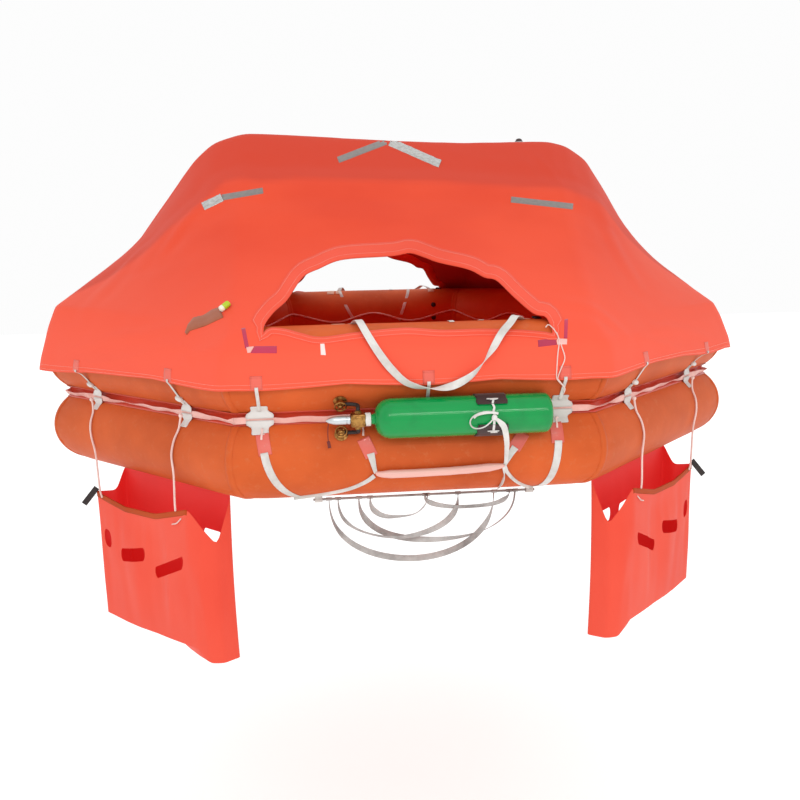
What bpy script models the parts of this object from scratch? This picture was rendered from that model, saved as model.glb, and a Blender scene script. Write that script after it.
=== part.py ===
"""Inflatable life raft: two stacked buoyancy tubes, a canopy on one arch, water pockets and a gas bottle.

Metres, +Z up, z = 0 at the waterline, the origin at the middle of the raft, -Y towards the front door.
"""

import math

import bmesh
import bpy
from mathutils import Matrix, Vector

# Buoyancy tubes, an eight-sided ring of two
TUBE_RADIUS = 0.1625
TUBE_SPACING = 0.301
TUBE_SIDES = 24
DRAUGHT = 0.040
FRONT_LINE = 1.2975
FRONT_HALF = 0.603
END_LINE = 1.3425
END_HALF = 0.574
LOWER_Z = TUBE_RADIUS - DRAUGHT
UPPER_Z = LOWER_Z + TUBE_SPACING
SEAM_Z = LOWER_Z + TUBE_SPACING / 2
GAP = 0.0003
UNCUT = 9.0

# Floor sheet, glued inside the lower tube, this many degrees below its middle
FLOOR_THICKNESS = 0.012
FLOOR_DEGREES = 45

# Arch tube, which leans a little to the right
ARCH_RADIUS = 0.088
ARCH_FOOT_Z = 0.44
ARCH_BEND = 0.13
ARCH_POINTS = [(-1.345, ARCH_FOOT_Z), (-1.335, 0.60), (-0.770, 1.327), (0.300, 1.262), (0.937, 1.270),
               (1.376, 0.54), (1.366, ARCH_FOOT_Z)]

# Canopy cloth, drawn thicker than the real one, with one door in front and one behind
CLOTH = 0.008
CANOPY_OVER_ARCH = 0.1075
CANOPY_OVER_TUBE = 0.1769
SKIRT_Z = 0.385
SKIRT_FLARE = 0.004
DOOR_OUTLINE = [(-0.53, 0.595), (-0.50, 0.655), (-0.39, 0.765), (-0.26, 0.812), (0.02, 0.832),
                (0.13, 0.800), (0.28, 0.745), (0.44, 0.625), (0.47, 0.595)]
DOOR_NEAR_Y = 0.85
DOOR_FAR_Y = 1.65

# Lifeline webbing in the groove between the tubes, with a patch wherever something is tied to it
LIFELINE_OUT = 0.108
LIFELINE_HEIGHT = 0.030
LIFELINE_THICKNESS = 0.006
LIFELINE_PATCH = (0.055, 0.030, 0.046)
LIFELINE_PATCH_OUT = LIFELINE_OUT + 0.008
DOOR_PATCH_X = (-0.555, 0.510)
DIAGONAL_PATCH_X = (-0.30, 0.30)
END_PATCH_X = (-0.20, 0.20)

# Gas bottle in the groove at the front
BOTTLE_RADIUS = 0.070
BOTTLE_END_X = 0.455
BOTTLE_BASE_ROUND = 0.021
BOTTLE_SHOULDER_X = -0.100
SHOULDER_LENGTH = 0.058
COLLAR = 0.006
NECK_RADIUS = 0.017
NECK_END_X = -0.190
BOTTLE_OUT = 0.1782
BOTTLE_Y = -FRONT_LINE - BOTTLE_OUT
BOTTLE_Z = SEAM_Z

# Valve on the bottle's neck, its operating head, and the two inlets it fills
VALVE_SIZE = (0.052, 0.050, 0.046)
VALVE_EDGE = 0.006
HEAD_RADIUS = 0.0155
HEAD_LENGTH = 0.085
HEAD_TAPER = ((0.0, 1.0), (0.7, 1.0), (0.9, 0.7), (1.0, 0.4))
INLET_X = -0.275
INLET_DEGREES = 34
INLET_RADIUS = 0.024
INLET_TAPER = 0.85
INLET_HEIGHT = 0.034
HOSE_RADIUS = 0.0075

# Cloth flaps that hold the bottle, as degrees up from its outermost line, and their lacing
CRADLE_X = 0.240
CRADLE_WIDTH = 0.106
CRADLE_THICKNESS = 0.004
CRADLE_UPPER_ARC = (118, 40)
CRADLE_LOWER_ARC = (-118, -15)
LACING_WIDTH = 0.018
LACING_ARC = (60, -40)
LACING_CLEARANCE = 0.0013

# Webbing and cord
WEB_WIDTH = 0.027
WEB_THICKNESS = 0.003
WEB_CLEARANCE = 0.0009
CORD_RADIUS = 0.0045

# Boarding ladder, which swings below the front tube: each loop's left, right and drop
LADDER_Y = -1.280
HEADER_RADIUS = 0.007
HEADER_HALF = 0.420
HEADER_MID_X = 0.035
HEADER_Z = -DRAUGHT - 0.026
ANCHOR_SIZE = 0.030
ANCHOR_INSET = 0.020
ANCHOR_RISE = 0.012
ANCHOR_WALL = 0.005
ANCHOR_BORE = HEADER_RADIUS + 0.001
RUNG_THICKNESS = 0.004
LADDER_LOOPS = [(-0.173, 0.042, 0.085), (0.035, 0.357, 0.055), (-0.293, 0.160, 0.160),
                (-0.215, 0.381, 0.190), (-0.327, 0.300, 0.252)]
LOOP_STAGGER = 0.003
LOOP_FULLNESS = 0.8
LOOP_STEPS = 12
LADDER_STRAP_ARC = (38, -88)
LADDER_STRAP_TOP_X = (-0.545, 0.495)

# Step below the door, as degrees up from the lower tube's outermost line
STEP_LEFT_X = -0.185
STEP_RIGHT_X = 0.350
STEP_RADIUS = 0.012
STEP_CLEARANCE = 0.001
STEP_PATCH_WIDTH = 0.050
STEP_PATCH_ARC = (27, 3)
STEP_ROUTE = [(STEP_LEFT_X, 8), (STEP_LEFT_X + 0.012, -4), (STEP_LEFT_X + 0.022, -14),
              (STEP_LEFT_X + 0.060, -19), (0.080, -19), (STEP_RIGHT_X - 0.090, -19),
              (STEP_RIGHT_X - 0.045, -15), (STEP_RIGHT_X - 0.015, -5), (STEP_RIGHT_X, 8)]

# Water pockets under the four diagonal tubes
POCKET_WALL = 0.006
POCKET_OUT = 0.150
POCKET_BULGE = 0.010
POCKET_LOW_POINT = (0.060, 0.085, -0.668)
SLOT_HEIGHT = 0.048
SLOT_REACH = (-0.030, 0.045)
POCKET_CORDS = (("a", -0.305, -0.125), ("b", 0.285, -0.085))
CORD_ON_TUBE = 0.0016
CORD_ARC = (33, 20, 8, -4)

# Ridge lamp, and its cell on the slope at the left of the front door
LAMP_PLACE = (0.70, 1.26)
LAMP_RADIUS = 0.020
LAMP_HEIGHT = 0.016
LAMP_TAPER = 0.7
LAMP_SEAT = 0.0006
LAMP_AXIS = (-0.013, 0.0, 1.0)
CELL_RADIUS = 0.011
CELL_LENGTH = 0.044
CELL_COLUMN = 7
CELL_DOWN = 0.91

# Grab line and topping-up valves on the inner side of the upper tube
INNER_LINE_RADIUS = 0.006
INNER_LINE_RISE = 0.020
INNER_LINE_SAG = 0.055
INNER_LINE_SHARE = 0.82
TOPPING_X = 0.405
TOPPING_DEGREES = (("a", 22.5), ("b", -7.5))
TOPPING_RADIUS = 0.016
TOPPING_LENGTH = 0.012

# Patch and ring for the painter line, at the left end
PAINTER_PATCH = (0.012, 0.120, 0.050)
RING_RADIUS = 0.026
RING_WIRE = 0.004
RING_POINTS = 16
RING_CLEARANCE = 0.0005

COLOURS = {"tube": (0.72, 0.20, 0.06), "canopy": (0.90, 0.13, 0.06), "web": (0.80, 0.79, 0.76),
           "pocket": (0.93, 0.14, 0.06), "green": (0.02, 0.30, 0.12), "brass": (0.55, 0.40, 0.18),
           "dark": (0.03, 0.02, 0.02), "lamp": (0.70, 0.75, 0.05), "pink": (0.85, 0.50, 0.45)}
COLLECTION = bpy.data.collections.new("life_raft")
CUTTERS = bpy.data.collections.new("cutters")
PLAN = [(-FRONT_HALF, -FRONT_LINE), (FRONT_HALF, -FRONT_LINE), (END_LINE, -END_HALF), (END_LINE, END_HALF),
        (FRONT_HALF, FRONT_LINE), (-FRONT_HALF, FRONT_LINE), (-END_LINE, END_HALF), (-END_LINE, -END_HALF)]
SIDES = len(PLAN)


def clear_scene():
    for old in list(bpy.data.objects):
        bpy.data.objects.remove(old)
    bpy.context.scene.collection.children.link(COLLECTION)
    bpy.context.scene.collection.children.link(CUTTERS)
    CUTTERS.hide_render = True


def finish_of(name, colour, roughness, metallic):
    """The material that goes with one object."""
    material = bpy.data.materials.new(name)
    material.use_nodes = True
    shader = material.node_tree.nodes["Principled BSDF"]
    shader.inputs["Base Color"].default_value = (*colour, 1.0)
    shader.inputs["Roughness"].default_value = roughness
    shader.inputs["Metallic"].default_value = metallic
    return material


def move_to(obj, collection):
    for home in list(obj.users_collection):
        home.objects.unlink(obj)
    collection.objects.link(obj)


def keep(obj, name, colour, roughness=0.55, metallic=0.0):
    """Files an object as a part, under its name and with its own material."""
    obj.name = name
    obj.data.name = name
    obj.data.materials.clear()
    obj.data.materials.append(finish_of(name, COLOURS[colour], roughness, metallic))
    move_to(obj, COLLECTION)


def keep_cutter(obj):
    move_to(obj, CUTTERS)
    obj.hide_render = True
    obj.display_type = "WIRE"
    return obj


def new_object(name, data):
    obj = bpy.data.objects.new(name, data)
    bpy.context.scene.collection.objects.link(obj)
    return obj


def mesh_object(name, mesh):
    """The object of a finished bmesh, which is freed."""
    data = bpy.data.meshes.new(name)
    mesh.to_mesh(data)
    mesh.free()
    return new_object(name, data)


def loft(name, loops, closed=False):
    """A closed body through loops with the same number of points, capped at its ends unless it is a ring."""
    mesh = bmesh.new()
    rings = [[mesh.verts.new(point) for point in loop] for loop in loops]
    pairs = list(zip(rings, rings[1:] + rings[:1])) if closed else list(zip(rings, rings[1:]))
    for near, far in pairs:
        for i in range(len(near)):
            j = (i + 1) % len(near)
            mesh.faces.new((near[i], near[j], far[j], far[i]))
    if not closed:
        mesh.faces.new(list(reversed(rings[0])))
        mesh.faces.new(rings[-1])
    bmesh.ops.recalc_face_normals(mesh, faces=mesh.faces)
    return mesh_object(name, mesh)


def box(name, size, centre, turn=0.0):
    """A block, turned about Z."""
    mesh = bmesh.new()
    bmesh.ops.create_cube(mesh, size=1.0)
    bmesh.ops.scale(mesh, vec=size, verts=mesh.verts)
    obj = mesh_object(name, mesh)
    obj.matrix_world = Matrix.Translation(centre) @ Matrix.Rotation(turn, 4, "Z")
    return obj


def disc(name, radius, height, base, axis, sides=20, top=1.0):
    """A round stud standing on a base point along an axis."""
    mesh = bmesh.new()
    bmesh.ops.create_cone(mesh, cap_ends=True, segments=sides, radius1=radius, radius2=radius * top,
                          depth=height)
    obj = mesh_object(name, mesh)
    obj.data.shade_smooth()
    obj.data.set_sharp_from_angle(angle=math.radians(40))
    turn = Vector((0, 0, 1)).rotation_difference(Vector(axis)).to_matrix().to_4x4()
    centre = Vector(base) + Vector(axis).normalized() * height / 2
    obj.matrix_world = Matrix.Translation(centre) @ turn
    return obj


def turned(name, profile, axis_y, axis_z, steps=28):
    """A body turned about a line along X from (x, radius) points."""
    mesh = bmesh.new()
    verts = [mesh.verts.new((x, radius, 0.0)) for x, radius in profile]
    for a, b in zip(verts, verts[1:]):
        mesh.edges.new((a, b))
    obj = mesh_object(name, mesh)
    obj.location = (0.0, axis_y, axis_z)
    screw = obj.modifiers.new("turn", "SCREW")
    screw.axis = "X"
    screw.steps = steps
    screw.render_steps = steps
    screw.use_merge_vertices = True
    screw.merge_threshold = 0.0001
    screw.use_smooth_shade = True
    screw.use_normal_calculate = True
    return obj


def soften(obj, width):
    edge = obj.modifiers.new("edges", "BEVEL")
    edge.width = width
    edge.segments = 2


def line_curve(name, points, radius, resolution=2, cyclic=False):
    """A cord or tube through points."""
    data = bpy.data.curves.new(name, "CURVE")
    data.dimensions = "3D"
    data.bevel_depth = radius
    data.bevel_resolution = resolution
    data.use_fill_caps = not cyclic
    spline = data.splines.new("POLY")
    spline.points.add(len(points) - 1)
    for item, point in zip(spline.points, points):
        item.co = (*point, 1.0)
    spline.use_cyclic_u = cyclic
    return new_object(name, data)


def as_mesh(curve):
    """The mesh of a curve object, welded, in its place."""
    graph = bpy.context.evaluated_depsgraph_get()
    data = bpy.data.meshes.new_from_object(curve.evaluated_get(graph))
    mesh = bmesh.new()
    mesh.from_mesh(data)
    bmesh.ops.remove_doubles(mesh, verts=mesh.verts, dist=0.00005)
    bmesh.ops.recalc_face_normals(mesh, faces=mesh.faces)
    mesh.to_mesh(data)
    mesh.free()
    obj = new_object(curve.name, data)
    obj.matrix_world = curve.matrix_world
    bpy.data.objects.remove(curve)
    return obj


def plate(name, outline, low, high):
    """A flat sheet with this outline in plan."""
    data = bpy.data.curves.new(name, "CURVE")
    data.dimensions = "2D"
    data.fill_mode = "BOTH"
    data.extrude = (high - low) / 2
    spline = data.splines.new("POLY")
    spline.points.add(len(outline) - 1)
    for item, point in zip(spline.points, outline):
        item.co = (point[0], point[1], 0.0, 1.0)
    spline.use_cyclic_u = True
    obj = new_object(name, data)
    obj.location.z = (low + high) / 2
    return obj


def combine(obj, other, operation):
    """Cuts or joins a mesh with another, which is kept as a cutter."""
    change = obj.modifiers.new(operation.lower(), "BOOLEAN")
    change.operation = operation
    change.solver = "EXACT"
    change.object = keep_cutter(other)


def ribbon(name, points, across, normals, width, thickness):
    """A flat band along points; across and normals give its width's and its thickness's directions."""
    loops = []
    for point, side, out in zip(points, across, normals):
        half = Vector(side).normalized() * width / 2
        rise = Vector(out).normalized() * thickness
        centre = Vector(point)
        loops.append([centre - half, centre + half, centre + half + rise, centre - half + rise])
    return loft(name, loops)


def edge_out(index):
    """The outward direction of one straight side of the plan."""
    a = Vector(PLAN[index])
    b = Vector(PLAN[(index + 1) % SIDES])
    along = (b - a).normalized()
    return Vector((along.y, -along.x))


def mitre(index):
    """How a corner moves when every side moves outwards by one unit."""
    before = edge_out((index - 1) % SIDES)
    after = edge_out(index)
    return (before + after) / (1 + before.dot(after))


def ring_loops(profile):
    """The corner loops of a ring whose section is (outward, height) points."""
    return [[(*(Vector(PLAN[i]) + mitre(i) * out), z) for out, z in profile] for i in range(SIDES)]


def side_point(index, along, out, z):
    """A point beside one straight side: along it from its middle, and outwards from the tube's centre."""
    a = Vector(PLAN[index])
    b = Vector(PLAN[(index + 1) % SIDES])
    place = (a + b) / 2 + (b - a).normalized() * along + edge_out(index) * out
    return Vector((place.x, place.y, z))


def tube_section(centre_z, low, high, radius=TUBE_RADIUS):
    """The tube's round section, pressed flat where the two tubes are glued."""
    section = []
    for step in range(TUBE_SIDES):
        angle = 2 * math.pi * step / TUBE_SIDES
        z = centre_z + radius * math.sin(angle)
        section.append((radius * math.cos(angle), min(max(z, low), high)))
    return section


def on_tube(degrees, centre_z, lift):
    """(outward, height) over a tube's skin, degrees up from its outermost line."""
    angle = math.radians(degrees)
    reach = TUBE_RADIUS + lift
    return reach * math.cos(angle), centre_z + reach * math.sin(angle)


def front_out(degrees):
    """The direction away from the front tube's centre line, degrees up from straight forward."""
    angle = math.radians(degrees)
    return Vector((0.0, -math.cos(angle), math.sin(angle)))


def make_tubes():
    lower = loft("lower_tube", ring_loops(tube_section(LOWER_Z, -UNCUT, SEAM_Z - GAP / 2)), closed=True)
    keep(lower, "lower_tube", "tube", 0.5)
    upper = loft("upper_tube", ring_loops(tube_section(UPPER_Z, SEAM_Z + GAP / 2, UNCUT)), closed=True)
    keep(upper, "upper_tube", "tube", 0.5)
    turn = math.radians(FLOOR_DEGREES)
    top = LOWER_Z - TUBE_RADIUS * math.sin(turn)
    inner = -(TUBE_RADIUS * math.cos(turn) + GAP)
    outline = [Vector(PLAN[i]) + mitre(i) * inner for i in range(SIDES)]
    keep(plate("floor", outline, top - FLOOR_THICKNESS, top), "floor", "tube", 0.6)


def rounded_path(points, reach, steps=4):
    """A path with each inner corner rounded, starting reach before it."""
    path = [Vector(points[0])]
    for before, corner, after in zip(points, points[1:], points[2:]):
        corner = Vector(corner)
        start = corner + (Vector(before) - corner).normalized() * reach
        end = corner + (Vector(after) - corner).normalized() * reach
        for step in range(steps + 1):
            t = step / steps
            path.append(start * (1 - t) ** 2 + corner * 2 * t * (1 - t) + end * t * t)
    path.append(Vector(points[-1]))
    return path


def make_arch():
    path = rounded_path(ARCH_POINTS, ARCH_BEND)
    arch = as_mesh(line_curve("arch", [(p.x, 0.0, p.y) for p in path], ARCH_RADIUS, 4))
    seat = tube_section(UPPER_Z, SEAM_Z, UNCUT, TUBE_RADIUS + GAP)
    combine(arch, loft("arch_seat", ring_loops(seat), closed=True), "DIFFERENCE")
    keep(arch, "arch_tube", "tube", 0.5)


def segment_distance(a, b, point):
    along = (b - a).normalized()
    reach = min(max((point - a).dot(along), 0.0), (b - a).length)
    return (a + along * reach - point).length


def arch_outer(x, z, down=0.0):
    """A point on the cloth over the arch at the leg or ridge place (x, z), down degrees round it."""
    path = rounded_path(ARCH_POINTS, ARCH_BEND)
    best = min(range(len(path) - 1), key=lambda i: segment_distance(path[i], path[i + 1], Vector((x, z))))
    a, b = path[best], path[best + 1]
    along = (b - a).normalized()
    out = Vector((-along.y, along.x))
    foot = a + along * min(max((Vector((x, z)) - a).dot(along), 0.0), (b - a).length)
    turn = math.radians(down)
    place = foot + out * CANOPY_OVER_ARCH * math.cos(turn)
    return Vector((place.x, -CANOPY_OVER_ARCH * math.sin(turn), place.y))


# Canopy rulings from left to right: the place on the arch, the place round the plan counted in corners,
# and how far the cloth's shoulder stands out from and above the upper tube's centre.
SNUG = (CANOPY_OVER_TUBE * math.sin(math.radians(30)), CANOPY_OVER_TUBE * math.cos(math.radians(30)))
RULINGS = [((-1.24, 0.74), 6.74, (0.135, 0.170)), ((-1.15, 0.86), 7.00, (0.120, 0.215)),
           ((-1.02, 1.00), 7.30, (0.100, 0.210)), ((-0.91, 1.14), 7.55, (0.095, 0.190)),
           ((-0.845, 1.23), 7.75, (0.092, 0.170)), ((-0.78, 1.30), 7.90, SNUG), ((-0.68, 1.32), 8.00, SNUG),
           ((-0.56, 1.31), 8.10, SNUG), ((-0.25, 1.29), 8.30, SNUG), ((0.06, 1.28), 8.50, SNUG),
           ((0.40, 1.26), 8.70, SNUG), ((0.73, 1.265), 8.90, SNUG), ((0.83, 1.265), 9.00, SNUG),
           ((0.905, 1.255), 9.12, SNUG), ((0.965, 1.20), 9.30, SNUG), ((1.06, 1.05), 9.55, (0.098, 0.158)),
           ((1.14, 0.92), 9.80, (0.110, 0.158)), ((1.22, 0.79), 10.00, (0.125, 0.155)),
           ((1.28, 0.70), 10.26, (0.135, 0.140))]
# Below the shoulder the cloth passes this place on the tube before it turns down to the hem
ROUND_TUBE = (CANOPY_OVER_TUBE * math.cos(math.radians(30)), CANOPY_OVER_TUBE * math.sin(math.radians(30)))
ROUND_STEP = 0.030
ROUND_SHARE = 0.6
# The cloth's two edges on the line of the arch: (outward, height), from the leg down to the hem
LEG_EDGE = [(0.065, 0.675), (0.078, 0.66), (0.090, 0.64), (0.105, 0.62), (0.128, 0.59), (0.148, 0.56),
            (0.168, 0.51), (0.181, UPPER_Z), (0.184, SKIRT_Z)]
PAST_MIDDLE = 0.03
OVER_ARCH = (17.0, 34.0)


def perimeter(place):
    """The plan point and its outward mitre at a place counted in corners, 8.5 being the front's middle."""
    index = int(place)
    part = place - index
    point = Vector(PLAN[index % SIDES]).lerp(Vector(PLAN[(index + 1) % SIDES]), part)
    if part == 0:
        return point, mitre(index % SIDES)
    return point, edge_out(index % SIDES)


def canopy_columns():
    """The cloth's outer face over the front half, as columns from beyond the ridge down to the hem."""
    columns = []
    for place, where, shoulder in RULINGS:
        base, out = perimeter(where)
        ridge = arch_outer(*place)
        front, near = (arch_outer(*place, down) for down in OVER_ARCH)
        over = Vector((front.x, -front.y, front.z))
        turned_down = (max(ROUND_TUBE[0], shoulder[0] + ROUND_STEP),
                       max(ROUND_TUBE[1], shoulder[1] * ROUND_SHARE))
        steps = [shoulder, turned_down, (CANOPY_OVER_TUBE, 0.0),
                 (CANOPY_OVER_TUBE + SKIRT_FLARE, SKIRT_Z - UPPER_Z)]
        rim = [Vector((base.x + out.x * o, base.y + out.y * o, UPPER_Z + h)) for o, h in steps]
        columns.append([over, ridge, front, near, near.lerp(rim[0], 0.5), *rim])
    left, right = ([Vector((sign * (END_LINE + o), PAST_MIDDLE, z)) for o, z in LEG_EDGE]
                   for sign in (-1, 1))
    return [left, *columns, right]


def make_canopy(name, facing):
    """Half of the canopy, in front of the arch (facing 1) or behind it (facing -1), with its door."""
    mesh = bmesh.new()
    columns = [[mesh.verts.new((p.x, p.y * facing, p.z)) for p in column] for column in canopy_columns()]
    for left, right in zip(columns, columns[1:]):
        for i in range(len(left) - 1):
            corners = (left[i], left[i + 1], right[i + 1], right[i])
            mesh.faces.new(corners if facing > 0 else tuple(reversed(corners)))
    cloth = mesh_object(name, mesh)
    wall = cloth.modifiers.new("wall", "SOLIDIFY")
    wall.thickness = CLOTH
    wall.offset = -1.0
    wall.use_even_offset = True
    reach = 4.0
    half = box(name + "_half", (reach, reach, reach), (0.0, -facing * (reach + GAP) / 2, UPPER_Z))
    combine(cloth, half, "INTERSECT")
    near, far = -facing * DOOR_NEAR_Y, -facing * DOOR_FAR_Y
    door = loft(name + "_door", [[(x, y, z) for x, z in DOOR_OUTLINE] for y in (near, far)])
    combine(cloth, door, "DIFFERENCE")
    keep(cloth, name, "canopy", 0.65)


def make_lifeline():
    half = LIFELINE_HEIGHT / 2
    profile = [(LIFELINE_OUT, SEAM_Z - half), (LIFELINE_OUT, SEAM_Z + half),
               (LIFELINE_OUT - LIFELINE_THICKNESS, SEAM_Z + half),
               (LIFELINE_OUT - LIFELINE_THICKNESS, SEAM_Z - half)]
    line = loft("lifeline", ring_loops(profile), closed=True)
    places = [(side, x) for side in (0, 4) for x in DOOR_PATCH_X]
    places += [(side, x) for side in (1, 3, 5, 7) for x in DIAGONAL_PATCH_X]
    places += [(side, x) for side in (2, 6) for x in END_PATCH_X]
    for number, (side, along) in enumerate(places):
        out = edge_out(side)
        middle = side_point(side, along, LIFELINE_PATCH_OUT, SEAM_Z)
        turn = math.atan2(out.y, out.x) + math.pi / 2
        patch = box(f"lifeline_patch_{number}", LIFELINE_PATCH, middle, turn)
        combine(line, patch, "UNION")
    keep(line, "lifeline", "web", 0.7)


def make_bottle():
    neck_base = BOTTLE_SHOULDER_X - SHOULDER_LENGTH - COLLAR
    profile = [(NECK_END_X, 0.0), (NECK_END_X, NECK_RADIUS), (neck_base, NECK_RADIUS)]
    collar = NECK_RADIUS + COLLAR
    for degrees in (0.0, 22.5, 45.0, 67.5, 90.0):
        angle = math.radians(degrees)
        profile.append((BOTTLE_SHOULDER_X - SHOULDER_LENGTH * math.cos(angle),
                        collar + (BOTTLE_RADIUS - collar) * math.sin(angle)))
    for degrees in (0.0, 30.0, 60.0, 90.0):
        angle = math.radians(degrees)
        profile.append((BOTTLE_END_X - BOTTLE_BASE_ROUND * (1 - math.sin(angle)),
                        BOTTLE_RADIUS - BOTTLE_BASE_ROUND * (1 - math.cos(angle))))
    profile.append((BOTTLE_END_X, 0.0))
    keep(turned("gas_bottle", profile[::-1], BOTTLE_Y, BOTTLE_Z), "gas_bottle", "green", 0.25)


def make_valve():
    """The operating head on the bottle's neck, the two inlet valves and the hoses to them."""
    mid = NECK_END_X - GAP - VALVE_SIZE[0] / 2
    valve = box("valve_body", VALVE_SIZE, (mid, BOTTLE_Y, BOTTLE_Z))
    soften(valve, VALVE_EDGE)
    keep(valve, "valve_body", "brass", 0.35, 0.9)
    end = NECK_END_X - VALVE_SIZE[0] - 2 * GAP
    profile = [(end, 0.0)]
    profile += [(end - HEAD_LENGTH * part, HEAD_RADIUS * share) for part, share in HEAD_TAPER]
    profile.append((end - HEAD_LENGTH, 0.0))
    keep(turned("operating_head", profile, BOTTLE_Y, BOTTLE_Z, 20), "operating_head", "web", 0.4)
    for name, sign, centre_z in (("upper", -1, UPPER_Z), ("lower", 1, LOWER_Z)):
        out, z = on_tube(sign * INLET_DEGREES, centre_z, GAP)
        axis = front_out(sign * INLET_DEGREES)
        base = Vector((INLET_X, -FRONT_LINE - out, z))
        inlet = disc("inlet", INLET_RADIUS, INLET_HEIGHT, base, axis, 18, INLET_TAPER)
        keep(inlet, f"inlet_valve_{name}", "brass", 0.35, 0.9)
        middle = base + axis * INLET_HEIGHT / 2
        start = Vector((mid, BOTTLE_Y, BOTTLE_Z - sign * (VALVE_SIZE[2] / 2 + GAP)))
        bend = Vector((mid, middle.y, middle.z))
        hose_end = Vector((INLET_X + INLET_RADIUS, middle.y, middle.z))
        lead = Vector((0.0, 0.0, -sign * 0.006))
        points = [start, start + lead, start.lerp(bend, 0.6) + lead, bend.lerp(hose_end, 0.45), hose_end]
        keep(line_curve("hose", points, HOSE_RADIUS, 2), f"gas_hose_{name}", "dark", 0.5)


def arc_band(name, arc, lift, width, thickness, steps=7):
    """A band wrapped round the bottle, its chords clear of the bottle's circle."""
    start, end = arc
    reach = lift / math.cos(math.radians((end - start) / steps / 2))
    normals = [front_out(start + (end - start) * step / steps) for step in range(steps + 1)]
    points = [Vector((CRADLE_X, BOTTLE_Y, BOTTLE_Z)) + out * reach for out in normals]
    return ribbon(name, points, [(1, 0, 0)] * len(points), normals, width, thickness)


def make_cradle():
    """Two dark cloth flaps that hold the bottle, laced together over its front."""
    lift = BOTTLE_RADIUS + GAP
    upper = arc_band("cradle_upper", CRADLE_UPPER_ARC, lift, CRADLE_WIDTH, CRADLE_THICKNESS)
    keep(upper, "cradle_flap_upper", "dark", 0.6)
    lower = arc_band("cradle_lower", CRADLE_LOWER_ARC, lift, CRADLE_WIDTH, CRADLE_THICKNESS)
    keep(lower, "cradle_flap_lower", "dark", 0.6)
    lift += CRADLE_THICKNESS + LACING_CLEARANCE
    lacing = arc_band("lacing", LACING_ARC, lift, LACING_WIDTH, WEB_THICKNESS, 8)
    keep(lacing, "cradle_lacing", "web", 0.75)


# Boarding strap over one sill: along X, outwards from the upper tube's centre, and above it
STRAP_ROUTE = [(-0.215, 0.000, 0.1630), (-0.207, 0.030, 0.1740), (-0.199, 0.066, 0.1775),
               (-0.188, 0.100, 0.1590), (-0.170, 0.1395, 0.1255), (-0.140, 0.1700, 0.0757),
               (-0.100, 0.1870, 0.0220), (-0.045, 0.1880, -0.0275), (0.030, 0.1885, -0.0480),
               (0.100, 0.1880, -0.0460), (0.160, 0.1880, -0.0200), (0.205, 0.1870, 0.0200),
               (0.250, 0.1700, 0.0757), (0.290, 0.1395, 0.1255), (0.332, 0.100, 0.1590),
               (0.356, 0.066, 0.1775), (0.378, 0.030, 0.1740), (0.395, 0.000, 0.1630)]


def make_boarding_strap(name, facing):
    """Webbing that hangs in a loop over the sill of one door."""
    points = [Vector((x, -facing * (FRONT_LINE + out), UPPER_Z + height)) for x, out, height in STRAP_ROUTE]
    normals, across = [], []
    last = len(points) - 1
    for i, (x, out, height) in enumerate(STRAP_ROUTE):
        along = (points[min(i + 1, last)] - points[max(i - 1, 0)]).normalized()
        away = Vector((0.0, -facing * out, max(height, 0.0))).normalized()
        side = along.cross(away).normalized()
        across.append(side)
        normals.append(side.cross(along))
    keep(ribbon(name, points, across, normals, WEB_WIDTH, WEB_THICKNESS), name, "web", 0.75)


def tube_strap(name, x_top, x_bottom, arc, width, steps):
    """Webbing that follows the front of the lower tube from one height to another, and drifts sideways."""
    points, normals = [], []
    for step in range(steps + 1):
        part = step / steps
        out = front_out(arc[0] + (arc[1] - arc[0]) * part)
        x = x_top + (x_bottom - x_top) * part
        points.append(Vector((x, -FRONT_LINE, LOWER_Z)) + out * (TUBE_RADIUS + WEB_CLEARANCE))
        normals.append(out)
    strap = ribbon(name, points, [(1, 0, 0)] * len(points), normals, width, WEB_THICKNESS)
    keep(strap, name, "web", 0.75)


def make_step():
    """A stiffened step that hangs from two patches on the lower tube."""
    for side, x in (("left", STEP_LEFT_X), ("right", STEP_RIGHT_X)):
        tube_strap(f"step_patch_{side}", x, x, STEP_PATCH_ARC, STEP_PATCH_WIDTH, 4)
    reach = TUBE_RADIUS + WEB_CLEARANCE + WEB_THICKNESS + STEP_RADIUS + STEP_CLEARANCE
    points = [Vector((x, -FRONT_LINE, LOWER_Z)) + front_out(degrees) * reach for x, degrees in STEP_ROUTE]
    keep(line_curve("boarding_step", points, STEP_RADIUS, 2), "boarding_step", "pink", 0.5)


def ladder_loop(number, left, right, drop):
    """One hanging loop of webbing, both of its ends on the header."""
    points = []
    for step in range(LOOP_STEPS + 1):
        turn = math.pi * step / LOOP_STEPS
        x = (left + right) / 2 - (right - left) / 2 * math.cos(turn)
        y = LADDER_Y + LOOP_STAGGER * (number - (len(LADDER_LOOPS) - 1) / 2)
        points.append(Vector((x, y, HEADER_Z - drop * math.sin(turn) ** LOOP_FULLNESS)))
    normals = []
    for i in range(len(points)):
        along = (points[min(i + 1, LOOP_STEPS)] - points[max(i - 1, 0)]).normalized()
        normals.append(Vector((0, 1, 0)).cross(along))
    return ribbon(f"loop_{number}", points, [(0, 1, 0)] * len(points), normals, WEB_WIDTH, RUNG_THICKNESS)


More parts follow.
